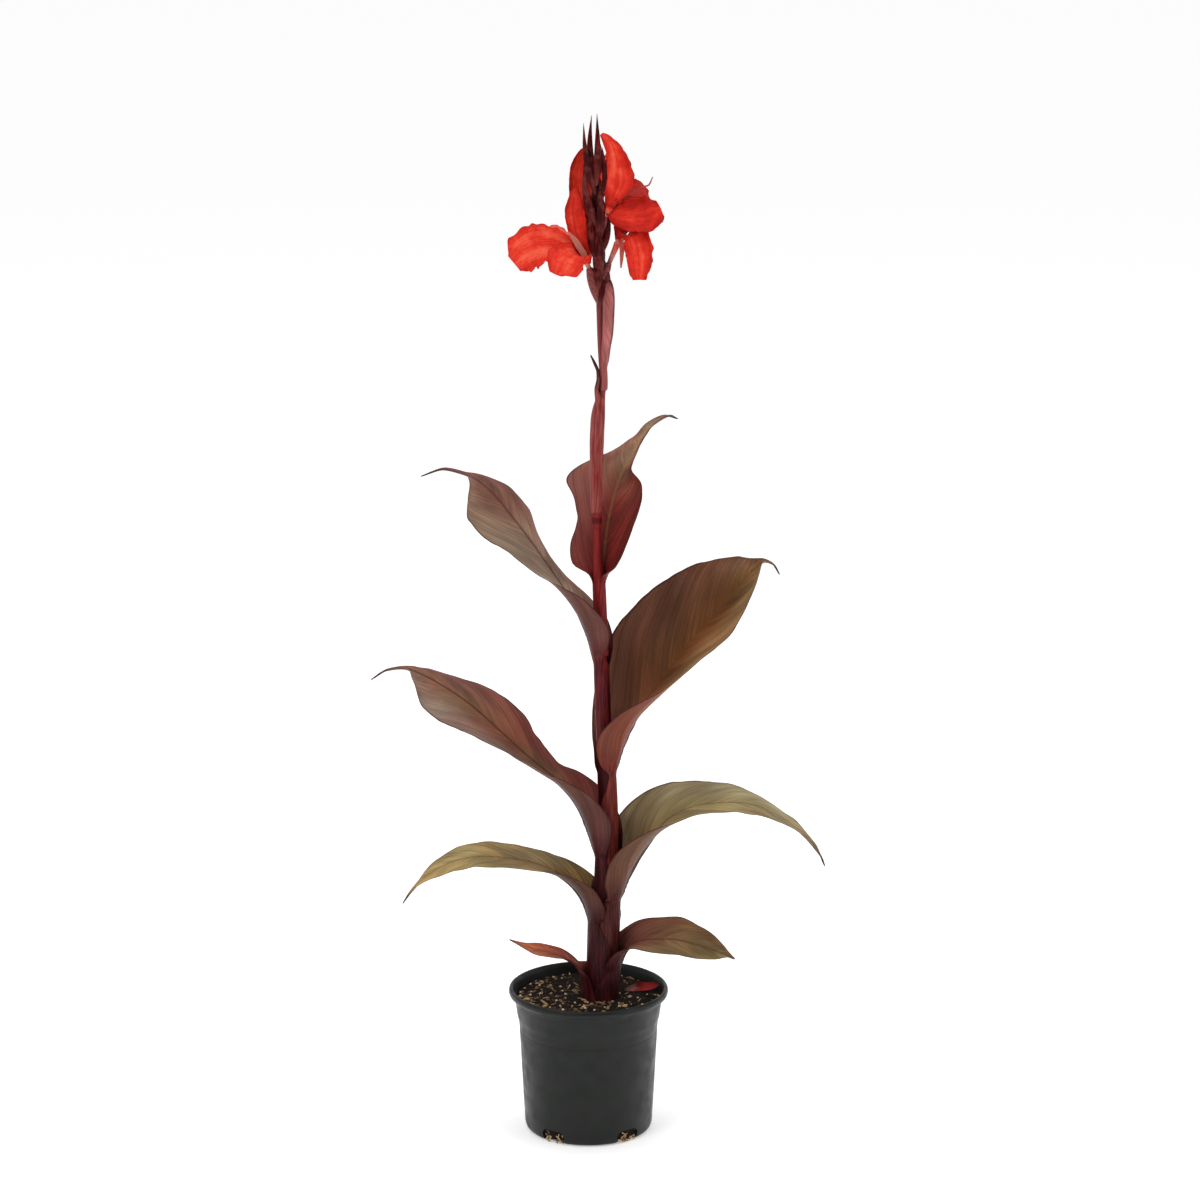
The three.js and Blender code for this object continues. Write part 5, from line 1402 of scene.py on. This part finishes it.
def soil_shape(relief):
    """The potting mix as it fills the pot, with an uneven top."""
    sides = SOIL_GRID[1]
    shape = Shape()
    wall = [compass(360 * j / sides) * r + UPRIGHT * z for r, z in SOIL_SIDE[1:-1] for j in range(sides)]
    wall.append(UPRIGHT * SOIL_SIDE[0][1])
    rows = len(SOIL_SIDE) - 2
    floor = [face[::-1] for face in fan(0, sides, rows * sides)]
    shape.add(wall, rounds(rows, sides) + floor, {})
    brim = soil_top(shape, relief, SOIL_SIDE[-1][0])
    low = (rows - 1) * sides
    shape.faces += [(low + j, low + (j + 1) % sides, brim + (j + 1) % sides, brim + j) for j in range(sides)]
    return shape


def crumb_kinds(look):
    """What is strewn on the potting mix. Bare is how empty the right and the back are left."""
    return {
        "bark_chips": {
            "Size": look.bark_size, "Spacing": 0.0072, "Proportions": (1.0, 0.5, 0.36), "Tilt": 0.6,
            "Unevenness": 0.75, "Bare": 0.85, "stops": [
                (0.0, "140c07"), (0.45, "2e1d12"), (0.68, look.bark), (0.84, "9a774f"), (1.0, look.straw)],
        },
        "straw_bits": {
            "Size": look.bark_size * 1.5, "Spacing": 0.011, "Proportions": (1.0, 0.16, 0.12), "Tilt": 0.3,
            "Unevenness": 0.5, "Bare": 0.6, "stops": [(0.0, look.bark), (0.4, "8a6a42"), (1.0, look.straw)],
        },
        "pale_grit": {
            "Size": look.grit_size, "Spacing": 0.0105, "Proportions": (1.0, 0.85, 0.7), "Tilt": 1.0,
            "Unevenness": 0.5, "Bare": 0.8, "stops": [(0.0, look.straw), (1.0, look.grit)],
        },
        "fine_crumbs": {
            "Size": 0.0028, "Spacing": 0.0022, "Proportions": (1.0, 0.8, 0.6), "Tilt": 1.2,
            "Unevenness": 0.55, "Bare": 0.0, "stops": [
                (0.0, "0a0604"), (0.5, look.peat), (0.85, "2c1d15"), (0.96, look.bark), (1.0, "94704a")],
        },
    }


def strand_paths(seed):
    """Short bent strands of root and straw, packed behind each drain."""
    pick = random.Random(seed)
    paths = []
    for drain in range(DRAINS):
        turn = DRAIN["turn"] - 90 + 360 * drain / DRAINS
        for _ in range(STRANDS["count"]):
            radius = pick.uniform(STRANDS["thin"], STRANDS["thick"])
            across, high = pick.uniform(-1, 1) * STRANDS["wide"], pick.uniform(0, STRANDS["high"])
            lean = math.radians(pick.uniform(-STRANDS["lean"], STRANDS["lean"]))
            half = pick.uniform(STRANDS["shortest"], 1) * STRANDS["length"] / 2
            path = []
            for way, bend in ((-1, 0), (0, pick.uniform(*STRANDS["bend"])), (1, 0)):
                along = clamp(across + way * half * math.sin(lean), -STRANDS["wide"], STRANDS["wide"])
                reach = STRANDS["reach"] + pick.uniform(-0.5, 0.5) * STRANDS["spread"] + bend
                spot = compass(turn + math.degrees(along / reach)) * reach
                z = clamp(high + way * half * math.cos(lean), radius + STRANDS["clear"], STRANDS["high"])
                path.append((spot + UPRIGHT * z, radius))
            paths.append(path)
    return paths


class CANNA_OT_potting_mix(bpy.types.Operator):
    """Fill the pot with peat and strew bark, chips and grit on it"""

    bl_idname = "canna.potting_mix"
    bl_label = "Potting mix"

    def execute(self, context):
        look = context.scene.canna_soil
        relief = look.relief / MM
        mix = piece_of("potting_mix", soil_shape(relief), peat_finish(look))
        bed = Shape()
        soil_top(bed, relief, STREWN_REACH)
        tree = strew_tree()
        for k, (name, crumb) in enumerate(crumb_kinds(look).items()):
            finish = crumb_finish(name.replace("_", " ").capitalize(), look, crumb.pop("stops"))
            piece = grow(placed(name, bed.mesh(name)), tree, {
                **crumb, "Seed": look.seed + k, "Material": finish})
            piece.data.shade_flat()
            show(piece, "potting_mix")
        stops = [(0.0, look.bark), (0.5, look.straw), (1.0, look.grit)]
        finish = crumb_finish("Roots and straw", look, stops)
        strands = grow(path_object("roots_in_the_drains", strand_paths(look.seed)), tube_tree(), {
            "Step": 0.002, "Sides": 6, "Material": finish})
        show(strands, "potting_mix")
        show(mix, "potting_mix", "soil")
        return {"FINISHED"}


# The stem


def path_object(name, paths):
    """A curve object of paths, each a list of (point, radius) in millimetres."""
    curve = bpy.data.curves.new(name, "CURVE")
    curve.dimensions = "3D"
    for path in paths:
        spline = curve.splines.new("POLY")
        spline.points.add(len(path) - 1)
        for knot, (point, radius) in zip(spline.points, path):
            knot.co = (*(point * MM), 1)
            knot.radius = radius * MM
    return placed(name, curve)


def stem_path():
    knots = round((STEM[-1][0] - STALK_FOOT) / STEM_KNOT)
    heights = [STALK_FOOT + (STEM[-1][0] - STALK_FOOT) * k / knots for k in range(knots + 1)]
    return [(axis_at(z), stem_radius(z)) for z in heights]


def bud_path(foot_height, heading, length, radius, lean):
    foot = axis_at(foot_height) + compass(heading)
    way = compass(heading) * math.sin(math.radians(lean)) + UPRIGHT * math.cos(math.radians(lean))
    path = []
    for k in range(BUD_KNOTS + 1):
        s = k / BUD_KNOTS
        girth = at_height(BUD_SHAPE, 0, s)[1] * radius
        belly = compass(heading) * (radius * BUD_BELLY * math.sin(math.pi * s))
        path.append((foot + way * (length * s) + belly, girth))
    return path


def ovary_path(bloom):
    foot, seat = axis_at(bloom["joint"]), Vector(bloom["seat"])
    return [(foot.lerp(seat, s), girth * bloom["ovary"]) for s, girth in OVARY_SHAPE]


class CANNA_OT_stem(bpy.types.Operator):
    """Grow the stem with its joints, its closed buds and its ovaries"""

    bl_idname = "canna.stem"
    bl_label = "Stem and buds"

    def execute(self, context):
        look = context.scene.canna_stem
        tree = tube_tree()
        limbs = {
            "stem_cane": ([stem_path()], look.step, cane_finish(look), ["stem"]),
            "closed_buds": ([bud_path(*bud) for bud in BUDS], look.step, bud_finish(look), []),
            "ovaries": ([ovary_path(bloom) for bloom in BLOOMS], look.step / 2, ovary_finish(look), []),
        }
        for name, (paths, step, finish, nodes) in limbs.items():
            piece = grow(path_object(name, paths), tree, {
                "Step": step, "Sides": look.sides, "Material": finish})
            show(piece, "cane", *nodes)
        return {"FINISHED"}


# The leaves and the bracts


def leaf_piece(leaf, look):
    rows = leaf_rows(leaf)

    def put(row, out, left):
        foot = axis_at(min(row[2], leaf["notch"]))
        return Vector((foot.x, foot.y, row[2])) + out * row[0] + left * row[1]

    make = {
        "step": look.step / MM, "places": strip_places(look.strips), "edge": look.thickness / MM,
        "wall": leaf["wall"], "wave": leaf["wave"], "ripple": look.ripple / MM,
        "blade_from": len(rows) - len(leaf["blade"]), **LEAF_MARGIN,
    }
    shape = Shape()
    loft(shape, rows, leaf["heading"], put, make, leaf["notch"] + 0.5)
    finish = leaf_finish(leaf["name"], LEAF_TINTS[leaf["name"]], look)
    return piece_of(leaf["name"] + "_grown", shape, finish)


def grow_all(kind, look, slot):
    """Grows the leaves or the bracts, whose names start with their kind."""
    for leaf in LEAVES:
        if leaf["name"].startswith(kind):
            show(leaf_piece(leaf, look), slot, leaf["name"])
    return {"FINISHED"}


class CANNA_OT_leaves(bpy.types.Operator):
    """Grow the eight leaves, each from its sheath to its tip"""

    bl_idname = "canna.leaves"
    bl_label = "Leaves"

    def execute(self, context):
        return grow_all("leaf", context.scene.canna_leaves, "bronze_leaf")


class CANNA_OT_bracts(bpy.types.Operator):
    """Sheathe the flower stalk in its two bracts"""

    bl_idname = "canna.bracts"
    bl_label = "Bracts"

    def execute(self, context):
        return grow_all("bract", context.scene.canna_leaves, "pink_bract")


# The blooms


def add_petal(shape, petal, seat, look, seed):
    def put(row, out, left):
        return seat + out * row[0] + left * row[1] + UPRIGHT * row[2]

    make = {
        "step": look.step / MM, "places": strip_places(look.strips), "wave": petal["wave"],
        "ripple": look.ruffle / MM, "blade_from": 0, **PETAL_MARGIN,
    }
    start = len(shape.points)
    loft(shape, [[*row, 0] for row in petal["rows"]], petal["heading"], put, make, seed)
    for trait in ("glow", "pale"):
        values = shape.traits.setdefault(trait, [0.0] * start)
        values[start:] = [petal.get(trait, 0.0)] * (len(shape.points) - start)


def tube_path(bloom):
    seat, way = Vector(bloom["seat"]), Vector(bloom["axis"]).normalized() * bloom["tube"]
    return [(seat + way * share, radius) for share, radius in zip(TUBE_PLACES, TUBE_RADII)]


class CANNA_OT_blooms(bpy.types.Operator):
    """Open the four blooms on the flower stalk"""

    bl_idname = "canna.blooms"
    bl_label = "Blooms"

    def execute(self, context):
        look = context.scene.canna_blooms
        finish = petal_finish(look)
        for i, bloom in enumerate(BLOOMS):
            shape = Shape()
            for k, petal in enumerate(bloom["petals"]):
                add_petal(shape, petal, Vector(bloom["seat"]), look, 10.0 * i + k + 0.5)
            show(piece_of(bloom["name"] + "_petals", shape, finish), "scarlet_petal", bloom["name"])
        tubes = grow(path_object("corolla_tubes", [tube_path(bloom) for bloom in BLOOMS]), tube_tree(), {
            "Step": look.step, "Sides": look.sides, "Material": tube_finish(look)})
        show(tubes, "scarlet_petal")
        return {"FINISHED"}


class CANNA_OT_fallen_petal(bpy.types.Operator):
    """Drop a petal on the potting mix"""

    bl_idname = "canna.fallen_petal"
    bl_label = "Fallen petal"

    def execute(self, context):
        look = context.scene.canna_blooms
        lie = FALLEN_PETAL
        rows = [
            [reach * lie["length"], 0, rise, lie["roll"], breadth * lie["width"], lie["curl"],
             breadth * lie["width"], lie["curl"], 0]
            for reach, breadth, rise in FALLEN_SHAPE
        ]
        shape = Shape()
        petal = {"heading": lie["heading"], "rows": rows, "wave": [0, 1, 0]}
        add_petal(shape, petal, Vector(lie["middle"]), look, lie["seed"])
        show(piece_of("petal_on_the_mix", shape, fallen_finish(look)), "scarlet_petal", "fallen_petal")
        return {"FINISHED"}


# The stage


def white_surround(look):
    """A white surround that lights the plant less from in front than from behind, the sides and above."""
    world = bpy.data.worlds.new("White surround")
    world.use_nodes = True
    sky = Tree(world.node_tree)
    lit = sky.tree.nodes["Background"]
    depth = sky.add("ShaderNodeSeparateXYZ", {"Vector": sky.add("ShaderNodeTexCoord", {}, "Generated")}, "Y")
    sky.tree.links.new(sky.spread(depth, *SURROUND_TURN, look.front, look.sky), lit.inputs["Strength"])
    lit.inputs["Color"].default_value = WHITE
    seen = sky.add("ShaderNodeBackground", {"Color": WHITE})
    ray = sky.add("ShaderNodeLightPath", {}, "Is Camera Ray")
    choice = sky.add("ShaderNodeMixShader", {0: ray, 1: lit.outputs["Background"], 2: seen})
    sky.tree.links.new(choice, sky.tree.nodes["World Output"].inputs["Surface"])
    return world


class CANNA_OT_stage(bpy.types.Operator):
    """Lay the floor and set the light and the camera"""

    bl_idname = "canna.stage"
    bl_label = "Stage"

    def execute(self, context):
        look = context.scene.canna_stage
        scene = context.scene
        half = FLOOR_HALF_WIDTH
        mesh = bpy.data.meshes.new("floor")
        mesh.from_pydata([(-half, -half, 0), (half, -half, 0), (half, half, 0), (-half, half, 0)], [],
                         [(0, 1, 2, 3)])
        finish = Finish("Floor", Base_Color=look.floor, Roughness=0.9, Emission_Color=look.floor,
                        Emission_Strength=look.lift)
        mesh.materials.append(finish.material)
        placed("floor", mesh)

        scene.world = white_surround(look)
        scene.view_settings.view_transform = "Standard"

        for name, place, size, power in LIGHTS:
            light = bpy.data.lights.new(name, "AREA")
            light.size = size
            light.energy = look.key * power
            lamp = placed(name, light)
            lamp.location = place
            lamp.rotation_euler = (Vector(LIT_POINT) - Vector(place)).to_track_quat("-Z", "Y").to_euler()

        camera = placed("camera", bpy.data.cameras.new("camera"))
        camera.data.lens = look.lens
        camera.data.sensor_width = SENSOR_WIDTH
        camera.location = look.camera
        camera.rotation_euler = (math.pi / 2 - look.pitch, 0, 0)
        scene.camera = camera
        return {"FINISHED"}


class CANNA_PT_sidebar(bpy.types.Panel):
    """Builds the plant step by step"""

    bl_label = "Potted canna lily"
    bl_space_type = "VIEW_3D"
    bl_region_type = "UI"
    bl_category = "Canna"

    def draw(self, context):
        for operator, settings in STEPS:
            box = self.layout.box()
            box.operator(operator.bl_idname)
            look = getattr(context.scene, settings)
            for name in look.bl_rna.properties.keys():
                if name not in ("rna_type", "name"):
                    box.prop(look, name)


LOOKS = {
    "canna_pot": PotLook,
    "canna_soil": SoilLook,
    "canna_stem": StemLook,
    "canna_leaves": LeafLook,
    "canna_blooms": BloomLook,
    "canna_stage": StageLook,
}
STEPS = [
    (CANNA_OT_stage, "canna_stage"),
    (CANNA_OT_pot, "canna_pot"),
    (CANNA_OT_potting_mix, "canna_soil"),
    (CANNA_OT_stem, "canna_stem"),
    (CANNA_OT_leaves, "canna_leaves"),
    (CANNA_OT_bracts, "canna_leaves"),
    (CANNA_OT_blooms, "canna_blooms"),
    (CANNA_OT_fallen_petal, "canna_blooms"),
]


def register():
    for look in LOOKS.values():
        bpy.utils.register_class(look)
    for name, look in LOOKS.items():
        setattr(bpy.types.Scene, name, bpy.props.PointerProperty(type=look))
    for operator, _ in STEPS:
        bpy.utils.register_class(operator)
    bpy.utils.register_class(CANNA_PT_sidebar)


def unregister():
    bpy.utils.unregister_class(CANNA_PT_sidebar)
    for operator, _ in reversed(STEPS):
        bpy.utils.unregister_class(operator)
    for name in LOOKS:
        delattr(bpy.types.Scene, name)
    for look in reversed(LOOKS.values()):
        bpy.utils.unregister_class(look)


def main():
    register()
    bpy.ops.canna.stage()
    bpy.ops.canna.pot()
    bpy.ops.canna.potting_mix()
    bpy.ops.canna.stem()
    bpy.ops.canna.leaves()
    bpy.ops.canna.bracts()
    bpy.ops.canna.blooms()
    bpy.ops.canna.fallen_petal()


if __name__ == "__main__":
    main()
